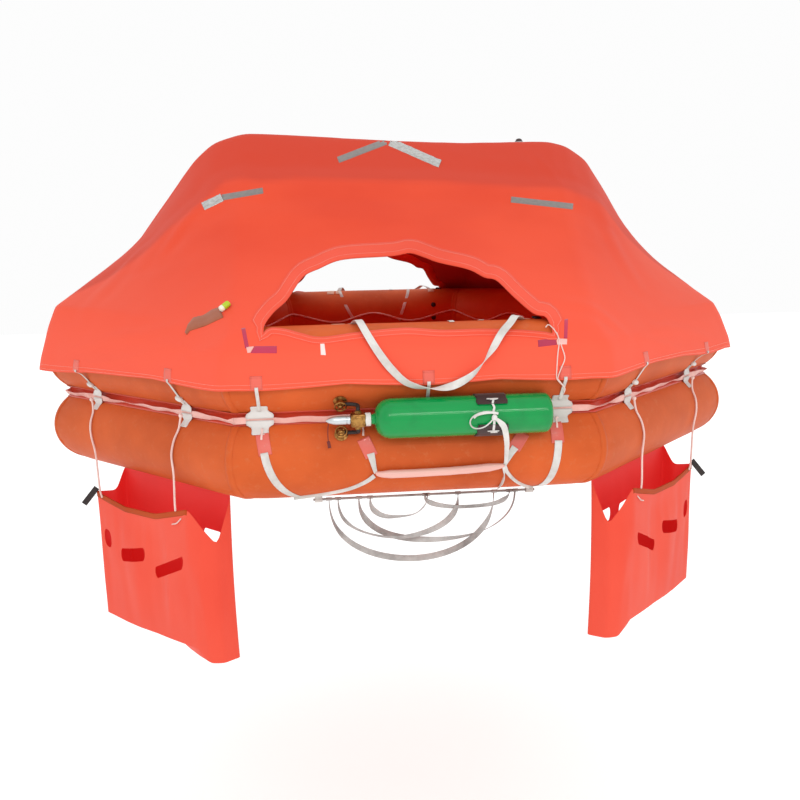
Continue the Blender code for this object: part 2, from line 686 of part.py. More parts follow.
def make_ladder():
    """A ladder of webbing loops on a header cord, which turns in two anchors under the front tube."""
    ends = [(HEADER_MID_X + sign * HEADER_HALF, LADDER_Y, HEADER_Z) for sign in (-1, 1)]
    ladder = as_mesh(line_curve("header", ends, HEADER_RADIUS, 2))
    for number, (left, right, drop) in enumerate(LADDER_LOOPS):
        combine(ladder, ladder_loop(number, left, right, drop), "UNION")
    keep(ladder, "boarding_ladder", "web", 0.75)
    low = HEADER_Z - HEADER_RADIUS - ANCHOR_WALL
    high = ANCHOR_RISE - DRAUGHT
    for side, sign, strap_x in (("left", -1, LADDER_STRAP_TOP_X[0]), ("right", 1, LADDER_STRAP_TOP_X[1])):
        x = HEADER_MID_X + sign * (HEADER_HALF - ANCHOR_INSET)
        anchor = box("anchor", (ANCHOR_SIZE, ANCHOR_SIZE, high - low), (x, LADDER_Y, (low + high) / 2))
        under = tube_section(LOWER_Z, -UNCUT, SEAM_Z, TUBE_RADIUS + GAP)
        combine(anchor, loft("anchor_seat", ring_loops(under), closed=True), "DIFFERENCE")
        bore_start = (x - ANCHOR_SIZE, LADDER_Y, HEADER_Z)
        bore = disc("anchor_bore", ANCHOR_BORE, 2 * ANCHOR_SIZE, bore_start, (1, 0, 0))
        combine(anchor, bore, "DIFFERENCE")
        keep(anchor, f"ladder_anchor_{side}", "web", 0.75)
        tube_strap(f"ladder_strap_{side}", strap_x, x, LADDER_STRAP_ARC, WEB_WIDTH, 14)


# Rings of a water pocket seen from above: (along, outwards, top, bottom), from the outer wall's far end
POCKET_RING = [(-0.320, POCKET_OUT, -0.125, -0.640), (-0.105, POCKET_OUT, -0.150, -0.645),
               (0.105, POCKET_OUT, -0.140, -0.632), (0.300, POCKET_OUT, -0.085, -0.620),
               (0.455, 0.108, -0.215, -0.705), (0.430, 0.012, -0.0425, -0.690),
               (0.060, 0.010, -0.0425, -0.665), (-0.300, 0.012, -0.0425, -0.655),
               (-0.272, 0.080, -0.130, -0.650)]
# Slots in the outer and in the inner wall: along, height and length, with the wall's place
POCKET_SLOTS = [(-0.262, -0.290, 0.058, POCKET_OUT), (-0.070, -0.315, 0.150, POCKET_OUT),
                (0.150, -0.290, 0.160, POCKET_OUT), (0.280, -0.230, 0.110, 0.006),
                (0.080, -0.240, 0.110, 0.006)]


def pocket_point(side, mirror, u, out, z):
    """A point of a water pocket: u along its tube, towards the nearer door when positive."""
    return side_point(side, u * mirror, out, z)


def slot_cutter(side, mirror, u, z, length, out):
    """A cutter with round ends through one wall of a pocket."""
    half = SLOT_HEIGHT / 2
    outline = []
    for end in (1, -1):
        for step in range(5):
            angle = math.pi * step / 4 - math.pi / 2
            outline.append((u + end * (length / 2 - half + half * math.cos(angle)),
                            z + end * half * math.sin(angle)))
    return loft("slot", [[pocket_point(side, mirror, a, out + depth, b) for a, b in outline]
                         for depth in SLOT_REACH])


def make_pocket(name, side, mirror):
    """A bag with slots that fills with water: an outer wall, folded sides and a wall against the tube."""
    mesh = bmesh.new()
    rings = []
    for level in (0.0, 0.5, 1.0):
        bulge = POCKET_BULGE * math.sin(math.pi * level)
        rings.append([mesh.verts.new(pocket_point(side, mirror, u, out + bulge, top + (low - top) * level))
                      for u, out, top, low in POCKET_RING])
    count = len(POCKET_RING)
    for upper, lower in zip(rings, rings[1:]):
        for i in range(count):
            j = (i + 1) % count
            mesh.faces.new((upper[i], upper[j], lower[j], lower[i]))
    middle = mesh.verts.new(pocket_point(side, mirror, *POCKET_LOW_POINT))
    for i in range(count):
        mesh.faces.new((rings[-1][i], rings[-1][(i + 1) % count], middle))
    bmesh.ops.recalc_face_normals(mesh, faces=mesh.faces)
    bag = mesh_object(name, mesh)
    wall = bag.modifiers.new("wall", "SOLIDIFY")
    wall.thickness = POCKET_WALL
    wall.offset = -1.0
    for slot in POCKET_SLOTS:
        combine(bag, slot_cutter(side, mirror, *slot), "DIFFERENCE")
    keep(bag, name, "pocket", 0.6)


def make_pocket_cords(name, side, mirror):
    """Two cords from the lifeline, over the lower tube, to the outer wall of one pocket."""
    tied = LIFELINE_PATCH_OUT + LIFELINE_PATCH[1] / 2 + CORD_RADIUS + GAP
    for label, u, top in POCKET_CORDS:
        route = [(tied, SEAM_Z - 0.008), (tied, SEAM_Z - 0.027)]
        route += [on_tube(degrees, LOWER_Z, CORD_RADIUS + CORD_ON_TUBE) for degrees in CORD_ARC]
        route += [(0.160, 0.040), (POCKET_OUT + CORD_RADIUS + 0.0052, top + 0.025),
                  (POCKET_OUT + CORD_RADIUS + 0.0008, top - 0.016)]
        points = [pocket_point(side, mirror, u * (1 - 0.02 * i), out, z) for i, (out, z) in enumerate(route)]
        keep(line_curve("cord", points, CORD_RADIUS, 1), f"{name}_cord_{label}", "web", 0.75)


def make_pockets():
    for name, side, mirror in (("front_left", 7, 1), ("front_right", 1, -1),
                               ("rear_right", 3, 1), ("rear_left", 5, -1)):
        make_pocket("pocket_" + name, side, mirror)
        make_pocket_cords("pocket_" + name, side, mirror)


def make_lamps():
    """A lamp on the ridge, and the cell that feeds it."""
    top = arch_outer(*LAMP_PLACE) + Vector((0.0, 0.0, LAMP_SEAT))
    lamp = disc("lamp", LAMP_RADIUS, LAMP_HEIGHT, top, LAMP_AXIS, 16, LAMP_TAPER)
    keep(lamp, "canopy_lamp", "dark", 0.4)
    before, column, after = canopy_columns()[CELL_COLUMN - 1:CELL_COLUMN + 2]
    near, shoulder = column[3], column[5]
    down = (shoulder - near).normalized()
    out = (after[5] - before[5]).cross(near - shoulder).normalized()
    centre = near.lerp(shoulder, CELL_DOWN) + out * (CELL_RADIUS + LAMP_SEAT)
    cell = disc("cell", CELL_RADIUS, CELL_LENGTH, centre - down * CELL_LENGTH / 2, down, 16)
    soften(cell, CELL_RADIUS / 3)
    keep(cell, "lamp_cell", "lamp", 0.4)


def make_inner_parts():
    """Grab line and two topping-up valves on the inner side of the upper tube."""
    inner = -(TUBE_RADIUS + GAP + INNER_LINE_RADIUS)
    points = []
    for side in range(SIDES):
        reach = (Vector(PLAN[(side + 1) % SIDES]) - Vector(PLAN[side])).length / 2 * INNER_LINE_SHARE
        for part, sag in ((-1.0, 0.0), (-0.5, INNER_LINE_SAG), (0.0, 0.0), (0.5, INNER_LINE_SAG), (1.0, 0.0)):
            points.append(side_point(side, part * reach, inner, UPPER_Z + INNER_LINE_RISE - sag))
    keep(line_curve("inner_line", points, INNER_LINE_RADIUS, 1, True), "inner_grab_line", "web", 0.75)
    facet = TUBE_RADIUS * math.cos(math.pi / TUBE_SIDES) + GAP
    for label, degrees in TOPPING_DEGREES:
        out = front_out(degrees)
        base = Vector((TOPPING_X, FRONT_LINE, UPPER_Z)) + out * facet
        valve = disc("valve", TOPPING_RADIUS, TOPPING_LENGTH, base, out, 16)
        keep(valve, f"topping_valve_{label}", "dark", 0.5)


def make_painter():
    face = -END_LINE - LIFELINE_OUT - GAP - PAINTER_PATCH[0]
    patch = box("painter_patch", PAINTER_PATCH, (face + PAINTER_PATCH[0] / 2, 0.0, SEAM_Z))
    keep(patch, "painter_patch", "web", 0.7)
    x = face - RING_WIRE - RING_CLEARANCE
    turns = [2 * math.pi * i / RING_POINTS for i in range(RING_POINTS)]
    points = [(x, RING_RADIUS * math.cos(turn), SEAM_Z + RING_RADIUS * math.sin(turn)) for turn in turns]
    keep(line_curve("ring", points, RING_WIRE, 2, True), "painter_ring", "web", 0.3, 0.8)


clear_scene()
make_tubes()
make_arch()
make_canopy("canopy_front", 1)
make_canopy("canopy_rear", -1)
make_lifeline()
make_bottle()
make_valve()
make_cradle()
make_boarding_strap("boarding_strap_front", 1)
make_boarding_strap("boarding_strap_rear", -1)
make_step()
make_ladder()
make_pockets()
make_lamps()
make_inner_parts()
make_painter()
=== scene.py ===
"""The inflatable life raft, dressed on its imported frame: metres, +Z up, -Y towards the front door."""

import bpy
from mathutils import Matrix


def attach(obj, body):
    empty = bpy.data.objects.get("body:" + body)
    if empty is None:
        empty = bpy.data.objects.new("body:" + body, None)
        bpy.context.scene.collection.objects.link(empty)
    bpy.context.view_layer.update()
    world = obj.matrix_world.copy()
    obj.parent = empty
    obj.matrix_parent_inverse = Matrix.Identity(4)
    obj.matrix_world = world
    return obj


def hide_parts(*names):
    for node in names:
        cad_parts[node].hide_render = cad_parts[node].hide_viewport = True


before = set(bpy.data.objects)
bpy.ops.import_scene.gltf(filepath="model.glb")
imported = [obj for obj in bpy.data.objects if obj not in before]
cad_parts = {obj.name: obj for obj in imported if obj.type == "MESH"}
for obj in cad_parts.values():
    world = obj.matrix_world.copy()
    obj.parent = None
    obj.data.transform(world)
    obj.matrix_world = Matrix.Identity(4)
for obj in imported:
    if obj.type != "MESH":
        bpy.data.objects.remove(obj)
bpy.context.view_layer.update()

import math

import bmesh
import bpy
import numpy as np
from mathutils import Matrix, Vector, noise
from mathutils.bvhtree import BVHTree

# Viewpoint
# The raft stands clear of the ground and is seen from the front, from a little above the door.
# One pixel of the 800 x 800 frame is 1/800 of the distance, so the lens is as long as the sensor is wide.
CAMERA_PLACE = Vector((-0.316, -4.165, 0.836))
CAMERA_YAW, CAMERA_PITCH, CAMERA_ROLL = -0.091, 0.183, 0.021
FRAME_PIXELS = 800
SENSOR = 36.0


def placed(name, data):
    """A new object in the scene that carries this data."""
    obj = bpy.data.objects.new(name, data)
    bpy.context.scene.collection.objects.link(obj)
    return obj


view_turn = (Matrix.Rotation(CAMERA_YAW, 3, "Z") @ Matrix.Rotation(-CAMERA_PITCH, 3, "X")
             @ Matrix.Rotation(CAMERA_ROLL, 3, "Y"))
view_right, view_forward, view_up = (view_turn.col[i] for i in range(3))
camera_data = bpy.data.cameras.new("photo_camera")
camera_data.sensor_width = SENSOR
camera_data.lens = SENSOR
camera = placed("photo_camera", camera_data)
turned = Matrix((view_right, view_up, -view_forward)).transposed()
camera.matrix_world = Matrix.Translation(CAMERA_PLACE) @ turned.to_4x4()
bpy.context.scene.camera = camera


def sight(x, y):
    """The direction in which the camera sees a pixel."""
    half = FRAME_PIXELS / 2
    return (view_right * (x - half) + view_forward * FRAME_PIXELS - view_up * (y - half)).normalized()


# Buoyancy tubes
# Two inflated chambers of rubber-coated nylon, each an eight-sided ring with mitred corners, glued
# one on the other. A tape covers each mitre, and the skin puckers a little beside it.
TUBE_RADIUS = 0.1625
LOWER_Z, UPPER_Z = 0.1225, 0.4235
SEAM_Z = (LOWER_Z + UPPER_Z) / 2
FRONT_LINE, FRONT_HALF = 1.2975, 0.603
END_LINE, END_HALF = 1.3425, 0.574
PLAN = np.array([(-FRONT_HALF, -FRONT_LINE), (FRONT_HALF, -FRONT_LINE), (END_LINE, -END_HALF),
                 (END_LINE, END_HALF), (FRONT_HALF, FRONT_LINE), (-FRONT_HALF, FRONT_LINE),
                 (-END_LINE, END_HALF), (-END_LINE, -END_HALF)])
SIDES = len(PLAN)
AHEAD = np.roll(PLAN, -1, axis=0) - PLAN
SIDE_LENGTH = np.linalg.norm(AHEAD, axis=1)
AHEAD = AHEAD / SIDE_LENGTH[:, None]
OUTWARD = np.stack([AHEAD[:, 1], -AHEAD[:, 0]], axis=1)
MITRE = np.stack([(OUTWARD[i - 1] + OUTWARD[i]) / (1 + OUTWARD[i - 1] @ OUTWARD[i]) for i in range(SIDES)])
TUBE_STATIONS, TUBE_STEPS, CORNER_CROWDING = 44, 80, 0.45
PUCKER_DEPTH, PUCKER_REACH = 0.0035, 0.050
WRINKLE_DEPTH, WRINKLE_REACH, WRINKLE_START, WRINKLES = 0.0022, 0.085, 0.018, 17
SWELL, SWELL_LIMIT = 0.0012, 0.0008
TAPE_HALF, TAPE_RISE, TAPE_TUCK = 0.016, 0.0012, -0.003
TUBE_GAP = 0.0003
# Each tube's middle, lowest and highest height; it is flat where it is glued to the other
TUBE_LIMITS = {"lower": (LOWER_Z, -np.inf, SEAM_Z - TUBE_GAP / 2),
               "upper": (UPPER_Z, SEAM_Z + TUBE_GAP / 2, np.inf)}
TUBE_ORANGE, TUBE_DEEP, TUBE_WORN = "#D25E2B", "#BC5022", "#C9764C"
TUBE_WEAVE_MM = 5.0


def linear(colour):
    """A screen colour such as #D2683A as linear red, green, blue and 1."""
    parts = [int(colour[i:i + 2], 16) / 255 for i in (1, 3, 5)]
    return (*[c / 12.92 if c <= 0.04045 else ((c + 0.055) / 1.055) ** 2.4 for c in parts], 1.0)


def add(tree, kind, inputs=None, **settings):
    """Adds a node with its settings. An input is a value, a screen colour, or another node's output."""
    made = tree.nodes.new(kind)
    for name, value in settings.items():
        setattr(made, name, value)
    for name, value in (inputs or {}).items():
        if isinstance(value, bpy.types.NodeSocket):
            tree.links.new(value, made.inputs[name])
        else:
            made.inputs[name].default_value = linear(value) if isinstance(value, str) else value
    return made


def start_material(name, **values):
    """A new material, its tree and its shader, with even values set on the shader."""
    material = bpy.data.materials.new(name)
    material.use_nodes = True
    shader = material.node_tree.nodes["Principled BSDF"]
    for socket, value in values.items():
        shader.inputs[socket.replace("_", " ")].default_value = value
    return material, material.node_tree, shader


def patchy(tree, grain, span, first, second, most=1.0):
    """A colour that drifts from one to another in patches, and the height of the patches. grain is their
    scale, detail and roughness, span the heights between which the colour turns, most how far it turns."""
    place = add(tree, "ShaderNodeTexCoord").outputs["Object"]
    scale, detail, roughness = grain
    height = add(tree, "ShaderNodeTexNoise", {"Vector": place, "Scale": scale, "Detail": detail,
                                              "Roughness": roughness}).outputs[0]
    turned = add(tree, "ShaderNodeMapRange", {"Value": height, "From Min": span[0], "From Max": span[1],
                                              "To Max": most})
    mixed = add(tree, "ShaderNodeMix", {0: turned.outputs[0], 6: first, 7: second}, data_type="RGBA")
    return mixed.outputs[2], height


def surface(tree, shader, colour, height, distance, strength):
    """Gives a shader its colour, and lets a height from 0 to 1 stand out by a distance."""
    tree.links.new(colour, shader.inputs["Base Color"])
    bump = add(tree, "ShaderNodeBump", {"Height": height, "Distance": distance, "Strength": strength})
    tree.links.new(bump.outputs[0], shader.inputs["Normal"])


def skin(name, grid, around=False, along=False, uv=None, ends=()):
    """A mesh object of quads through a grid of points: rows, columns, xyz. around joins the last column
    to the first, along the last row to the first, and ends names rows to close with a face."""
    rows, columns = grid.shape[:2]
    index = np.arange(rows * columns).reshape(rows, columns)
    a = index if along else index[:-1]
    b = np.roll(index, -1, axis=0) if along else index[1:]
    if around:
        quads = np.stack([a, np.roll(a, -1, axis=1), np.roll(b, -1, axis=1), b], axis=-1)
    else:
        quads = np.stack([a[:, :-1], a[:, 1:], b[:, 1:], b[:, :-1]], axis=-1)
    faces = quads.reshape(-1, 4).tolist() + [index[row].tolist() for row in ends]
    data = bpy.data.meshes.new(name)
    data.from_pydata(grid.reshape(-1, 3).tolist(), [], faces)
    if uv is not None:
        layer = data.uv_layers.new(name="along").data
        corners = np.array([loop.vertex_index for loop in data.loops])
        layer.foreach_set("uv", uv.reshape(-1, 2)[corners].astype(np.float32).ravel())
    data.shade_smooth()
    return placed(name, data)


def face_out(obj):
    """The same piece, a closed one, with all its faces turned outwards."""
    mesh = bmesh.new()
    mesh.from_mesh(obj.data)
    bmesh.ops.recalc_face_normals(mesh, faces=mesh.faces)
    mesh.to_mesh(obj.data)
    mesh.free()
    return obj


def finish(obj, material, body="raft", replaces=()):
    """Gives a piece its material, the body it rides on and what it stands for."""
    obj.data.materials.clear()
    obj.data.materials.append(material)
    if replaces:
        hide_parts(*replaces)
    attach(obj, body)
    return obj


def around_ring(side, share, out, z):
    """Points beside one side of the plan; share goes from its first mitre to its second."""
    share, out, z = np.broadcast_arrays(share, out, z)
    first = PLAN[side] + MITRE[side] * out[..., None]
    second = PLAN[(side + 1) % SIDES] + MITRE[(side + 1) % SIDES] * out[..., None]
    place = first + (second - first) * share[..., None]
    return np.concatenate([place, z[..., None]], axis=-1)


def side_point(side, along, out, z):
    """One point beside a side of the plan, along it from its middle and outwards from its centre line."""
    place = PLAN[side] + AHEAD[side] * (SIDE_LENGTH[side] / 2 + along) + OUTWARD[side] * out
    return np.array([place[0], place[1], z])


def tube_piece(name, centre_z, low, high):
    """A ring of eight straight tubes, pinched and wrinkled at its mitres."""
    turn = np.linspace(0, 2 * math.pi, TUBE_STEPS, endpoint=False)
    even = np.linspace(0, 1, TUBE_STATIONS, endpoint=False)
    share = CORNER_CROWDING * (0.5 - 0.5 * np.cos(math.pi * even)) + (1 - CORNER_CROWDING) * even
    rows = []
    for side in range(SIDES):
        for part in share:
            end = min(part, 1 - part) * SIDE_LENGTH[side]
            corner = side if part < 0.5 else side + 1
            pucker = -PUCKER_DEPTH * math.exp(-(end / PUCKER_REACH) ** 2)
            fade = math.exp(-(end / WRINKLE_REACH) ** 2) * (1 - math.exp(-(end / WRINKLE_START) ** 2))
            wave = np.sin(turn * WRINKLES + 2.1 * corner + 9.0 * end) * np.sin(turn * 5 + corner)
            soft = np.array([noise.noise((side * 7.3 + part * 3.1, math.cos(a) * 1.3,
                                          math.sin(a) * 1.3 + centre_z)) for a in turn])
            radius = TUBE_RADIUS + pucker + WRINKLE_DEPTH * fade * wave + SWELL * (soft - 0.4)
            radius = np.minimum(radius, TUBE_RADIUS + SWELL_LIMIT)
            z = np.clip(centre_z + radius * np.sin(turn), low, high)
            rows.append(around_ring(side, part, radius * np.cos(turn), z))
    return face_out(skin(name, np.array(rows), around=True, along=True))


def mitre_tapes(name, centre_z, low, high):
    """One band round the tube at each corner, its middle on the mitre."""
    turn = np.linspace(0, 2 * math.pi, TUBE_STEPS, endpoint=False)
    bands = []
    for corner in range(SIDES):
        rows = []
        for share, lift in ((-1, TAPE_TUCK), (-1, TAPE_RISE), (-0.5, TAPE_RISE), (0, TAPE_RISE),
                            (0.5, TAPE_RISE), (1, TAPE_RISE), (1, TAPE_TUCK)):
            radius = TUBE_RADIUS - PUCKER_DEPTH * 0.9 + lift
            z = np.clip(centre_z + radius * np.sin(turn), low, high)
            place = PLAN[corner] + MITRE[corner] * (radius * np.cos(turn))[:, None]
            place = place + (AHEAD[corner] if share > 0 else AHEAD[corner - 1]) * share * TAPE_HALF
            rows.append(np.concatenate([place, z[:, None]], axis=1))
        bands.append(face_out(skin(f"{name}_{corner}", np.array(rows), around=True, along=True)))
    return join(bands, name)


def join(pieces, name):
    """Several mesh objects as one."""
    mesh = bmesh.new()
    for one in pieces:
        mesh.from_mesh(one.data)
        bpy.data.objects.remove(one)
    data = bpy.data.meshes.new(name)
    mesh.to_mesh(data)
    mesh.free()
    return placed(name, data)


# Rubber-coated nylon, calendered: a satin skin with faint cloudy patches and the weave showing through.
# The real weave has about 0.5 mm between threads; it is drawn coarser, so that it shows.
tube_fabric, tree, shader = start_material("rubber_coated_nylon", Roughness=0.52, Specular_IOR_Level=0.14)
place = add(tree, "ShaderNodeTexCoord").outputs["Object"]
colour, clouds = patchy(tree, (2.6, 4.0, 0.6), (0.35, 0.68), TUBE_ORANGE, TUBE_DEEP)
colour, _ = patchy(tree, (38.0, 5.0, 0.7), (0.56, 0.72), colour, TUBE_WORN, most=0.35)
threads = add(tree, "ShaderNodeTexVoronoi", {"Vector": place, "Scale": 1000 / TUBE_WEAVE_MM,
                                             "Randomness": 0.25})
swell = add(tree, "ShaderNodeMath", {0: threads.outputs[0], 1: clouds}, operation="ADD")
surface(tree, shader, colour, swell.outputs[0], 0.0006, 0.35)

_, upper = (finish(tube_piece(f"tube_{label}", *limits), tube_fabric,
                   replaces=(f"{label}_tube",)) for label, limits in TUBE_LIMITS.items())
for label, limits in TUBE_LIMITS.items():
    finish(mitre_tapes(f"mitre_tapes_{label}", *limits), tube_fabric)
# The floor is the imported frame's own sheet, in the same skin
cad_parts["floor"].data.materials.clear()
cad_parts["floor"].data.materials.append(tube_fabric)

# Arch tube
# A smaller tube of the same skin, from one end of the raft to the other, with its feet glued to the
# upper tube. It is hidden by the canopy and seen through the doors.
ARCH_RADIUS = 0.088
ARCH_POINTS = [Vector(p) for p in ((-1.345, 0.44), (-1.335, 0.60), (-0.770, 1.327), (0.300, 1.262),
                                   (0.937, 1.270), (1.376, 0.54), (1.366, 0.44))]
ARCH_BEND = 0.13


def rounded_path(points, reach, steps):
    """A path whose inner corners are rounded, starting reach before each."""
    path = [points[0]]
    for before, corner, after in zip(points, points[1:], points[2:]):
        start = corner + (before - corner).normalized() * reach
        end = corner + (after - corner).normalized() * reach
        path += [start * (1 - t) ** 2 + corner * 2 * t * (1 - t) + end * t * t
                 for t in np.linspace(0, 1, steps)]
    path.append(points[-1])
    return path


def unit(vectors):
    """Vectors in the same directions, all of length one."""
    return vectors / np.linalg.norm(vectors, axis=-1)[..., None]


def walked(points):
    """How far along a line each of its points is."""
    return np.concatenate([[0], np.cumsum(np.linalg.norm(np.diff(points, axis=0), axis=1))])


def resample(points, count):
    """Evenly spaced points on a path."""
    points = np.array([tuple(p) for p in points], float)
    reach = walked(points)
    at = np.linspace(0, reach[-1], count)
    return np.stack([np.interp(at, reach, points[:, i]) for i in range(points.shape[1])], axis=1)


def smooth_path(points, count):
    """A Catmull-Rom curve through points, evenly spaced."""
    p = np.array([tuple(q) for q in points], float)
    p = np.vstack([2 * p[0] - p[1], p, 2 * p[-1] - p[-2]])
    fine = []
    for i in range(1, len(p) - 2):
        t = np.linspace(0, 1, 12, endpoint=False)[:, None]
        a, b, c, d = p[i - 1], p[i], p[i + 1], p[i + 2]
        fine.append(0.5 * (2 * b + (c - a) * t + (2 * a - 5 * b + 4 * c - d) * t ** 2
                           + (3 * b - a - 3 * c + d) * t ** 3))
    fine = np.vstack(fine + [p[-2][None]])
    return resample(fine, count)


def rod(name, path, radius, steps=16, closed=False):
    """A round tube, cord or hose along a path; radius is one value, or one for each point."""
    path = np.array(path, float)
    ahead = unit(np.gradient(path, axis=0))
    side = np.cross(ahead[0], (0, 0, 1) if abs(ahead[0][2]) < 0.9 else (1, 0, 0))
    sides, ups = [], []
    for one in ahead:
        side = unit(side - one * (side @ one))
        sides.append(side)
        ups.append(np.cross(one, side))
    turn = np.linspace(0, 2 * math.pi, steps, endpoint=False)
    radius = np.broadcast_to(radius, len(path))[:, None, None]
    grid = path[:, None] + radius * (np.cos(turn)[None, :, None] * np.array(sides)[:, None]
                                     + np.sin(turn)[None, :, None] * np.array(ups)[:, None])
    uv = np.stack(np.broadcast_arrays(walked(path)[:, None], (turn * 0.005)[None, :]), axis=-1)
    return face_out(skin(name, grid, around=True, along=closed, uv=uv, ends=() if closed else (0, -1)))


arch_path = resample(rounded_path(ARCH_POINTS, ARCH_BEND, 12), 90)
arch = rod("arch", [(x, 0.0, z) for x, z in arch_path], ARCH_RADIUS, 40)
finish(arch, tube_fabric, replaces=("arch_tube",))

# Canopy
# One cover of coated nylon, sewn from panels, thrown over the arch and tied down round the upper tube.
# It is stretched flat between them, with a soft line where an inner layer is sewn on below the ridge.
OVER_ARCH = 0.1075
OVER_TUBE = 0.1769
SKIRT_Z = 0.385
SKIRT_FLARE = 0.004
# At the raft's two ends the skirt stands out further and hangs lower: by how much, from how far out, and
# over what length it grows
END_FLARE, END_DROP, END_FROM, END_LENGTH = 0.020, 0.014, 0.75, 0.55
CLOTH = 0.0012
SNUG = (OVER_TUBE * math.sin(math.radians(30)), OVER_TUBE * math.cos(math.radians(30)))
RULINGS = [((-1.24, 0.74), 6.74, (0.135, 0.170)), ((-1.15, 0.86), 7.00, (0.120, 0.215)),
           ((-1.02, 1.00), 7.30, (0.100, 0.210)), ((-0.91, 1.14), 7.55, (0.095, 0.190)),
           ((-0.845, 1.23), 7.75, (0.092, 0.170)), ((-0.78, 1.30), 7.90, SNUG), ((-0.68, 1.32), 8.00, SNUG),
           ((-0.56, 1.31), 8.10, SNUG), ((-0.25, 1.29), 8.30, SNUG), ((0.06, 1.28), 8.50, SNUG),
           ((0.40, 1.26), 8.70, SNUG), ((0.73, 1.265), 8.90, SNUG), ((0.83, 1.265), 9.00, SNUG),
           ((0.905, 1.255), 9.12, SNUG), ((0.965, 1.20), 9.30, SNUG), ((1.06, 1.05), 9.55, (0.098, 0.158)),
           ((1.14, 0.92), 9.80, (0.110, 0.158)), ((1.22, 0.79), 10.00, (0.125, 0.155)),
           ((1.28, 0.70), 10.26, (0.135, 0.140))]
LEG_EDGE = [(0.078, 0.66), (0.090, 0.64), (0.105, 0.62), (0.128, 0.59), (0.148, 0.56), (0.168, 0.51),
            (0.193, UPPER_Z), (0.202, SKIRT_Z - END_DROP)]
NEAR_DEGREES = 34.0
ROWS, COLUMNS, HEM_CROWDING = 72, 190, 0.28
KEY_SHARES = (0.0, 0.035, 0.075, 0.42, 0.80, 0.87, 0.94, 1.0)
TO_REAR = np.array([1, -1, 1])


def arch_outer(x, z, down):
    """The cloth over the arch at the place (x, z), some degrees round it towards the front."""
    path = [Vector(p) for p in arch_path]
    here = Vector((x, z))
    best, foot = None, None
    for a, b in zip(path, path[1:]):
        along = (b - a).normalized()
        near = a + along * min(max((here - a).dot(along), 0.0), (b - a).length)
        if best is None or (near - here).length < best:
            best, foot, out = (near - here).length, near, Vector((-along.y, along.x))
    turn = math.radians(down)
    spot = foot + out * OVER_ARCH * math.cos(turn)
    return np.array((spot.x, -OVER_ARCH * math.sin(turn), spot.y))


def column_keys(ruling):
    """Key points of one ruling: three over the arch, the middle of the slope, four round the tube."""
    (x, z), where, shoulder = ruling
    index, part = int(where), where - int(where)
    base = PLAN[index % SIDES] * (1 - part) + PLAN[(index + 1) % SIDES] * part
    out = MITRE[index % SIDES] if part == 0 else OUTWARD[index % SIDES]
    ridge, front, near = (arch_outer(x, z, down) for down in (0, NEAR_DEGREES / 2, NEAR_DEGREES))
    turned_down = (max(SNUG[1], shoulder[0] + 0.030), max(SNUG[0], shoulder[1] * 0.6))
    end = min(max((abs(base[0]) - END_FROM) / END_LENGTH, 0.0), 1.0)
    steps = (shoulder, turned_down, (OVER_TUBE + END_FLARE * 0.7 * end, 0.0),
             (OVER_TUBE + SKIRT_FLARE + END_FLARE * end, SKIRT_Z - UPPER_Z - END_DROP * end))
    rim = [np.array([*(base + out * o), UPPER_Z + h]) for o, h in steps]
    return [ridge, front, near, (near + rim[0]) / 2, *rim]


def leg_keys(sign):
    """The same key points down the cloth's edge over one of the arch's legs."""
    return [np.array([sign * (END_LINE + o), 0.0, z]) for o, z in LEG_EDGE]


def bell(sigma):
    """Weights that fall off like a bell on both sides and add up to one."""
    reach = int(3 * sigma) + 1
    weights = np.exp(-0.5 * (np.arange(-reach, reach + 1) / sigma) ** 2)
    return weights / weights.sum()


def blur(grid, sigma, axis):
    """Smooths a grid of points along its rows (axis 0) or columns (axis 1), mirrored in y at the ridge and
    at both legs, and carried straight on past the hem."""
    weights = bell(sigma)
    reach = len(weights) // 2
    work = np.moveaxis(grid, axis, 0)
    before = work[1:reach + 1][::-1] * TO_REAR
    after = work[-reach - 1:-1][::-1]
    after = after * TO_REAR if axis == 1 else 2 * work[-1:] - after
    padded = np.concatenate([before, work, after])
    smooth = sum(w * padded[i:i + len(work)] for i, w in enumerate(weights))
    return np.moveaxis(smooth, 0, axis)


stations = np.array([leg_keys(-1), *[column_keys(r) for r in RULINGS], leg_keys(1)])
hem_line = stations[:, -1]
girth = walked(hem_line)
at = np.linspace(0, girth[-1], COLUMNS)
keys = np.stack([np.stack([np.interp(at, girth, stations[:, k, i]) for i in range(3)], axis=1)
                 for k in range(stations.shape[1])])
shares = np.linspace(0, 1, ROWS)
shares = (1 - HEM_CROWDING) * shares + HEM_CROWDING * (1 - (1 - shares) ** 2)
half = np.stack([np.stack([np.interp(shares, KEY_SHARES, keys[:, c, i]) for i in range(3)], axis=1)
                 for c in range(COLUMNS)], axis=1)
crisp = blur(half, 0.7, 1)
soft = blur(half, 1.4, 1)
share = np.clip((shares - 0.5) / 0.3, 0, 1)[:, None, None]
half = blur(soft * (1 - share) + crisp * share, 0.8, 0)


def outer_normals(grid):
    """The direction straight out of the cover at each point of its grid."""
    normals = unit(np.cross(np.gradient(grid, axis=0), np.gradient(grid, axis=1)))
    return -normals if normals[ROWS // 2, COLUMNS // 2, 1] > 0 else normals


def tree_of(*grids):
    """A tree to find where a line meets any of these grids of points."""
    points, faces = [], []
    for grid in grids:
        rows, columns = grid.shape[:2]
        index = len(points) + np.arange(rows * columns).reshape(rows, columns)
        points += [Vector(p) for p in grid.reshape(-1, 3)]
        quads = np.stack([index[:-1, :-1], index[:-1, 1:], index[1:, 1:], index[1:, :-1]], axis=-1)
        faces += quads.reshape(-1, 4).tolist()
    return BVHTree.FromPolygons(points, faces)


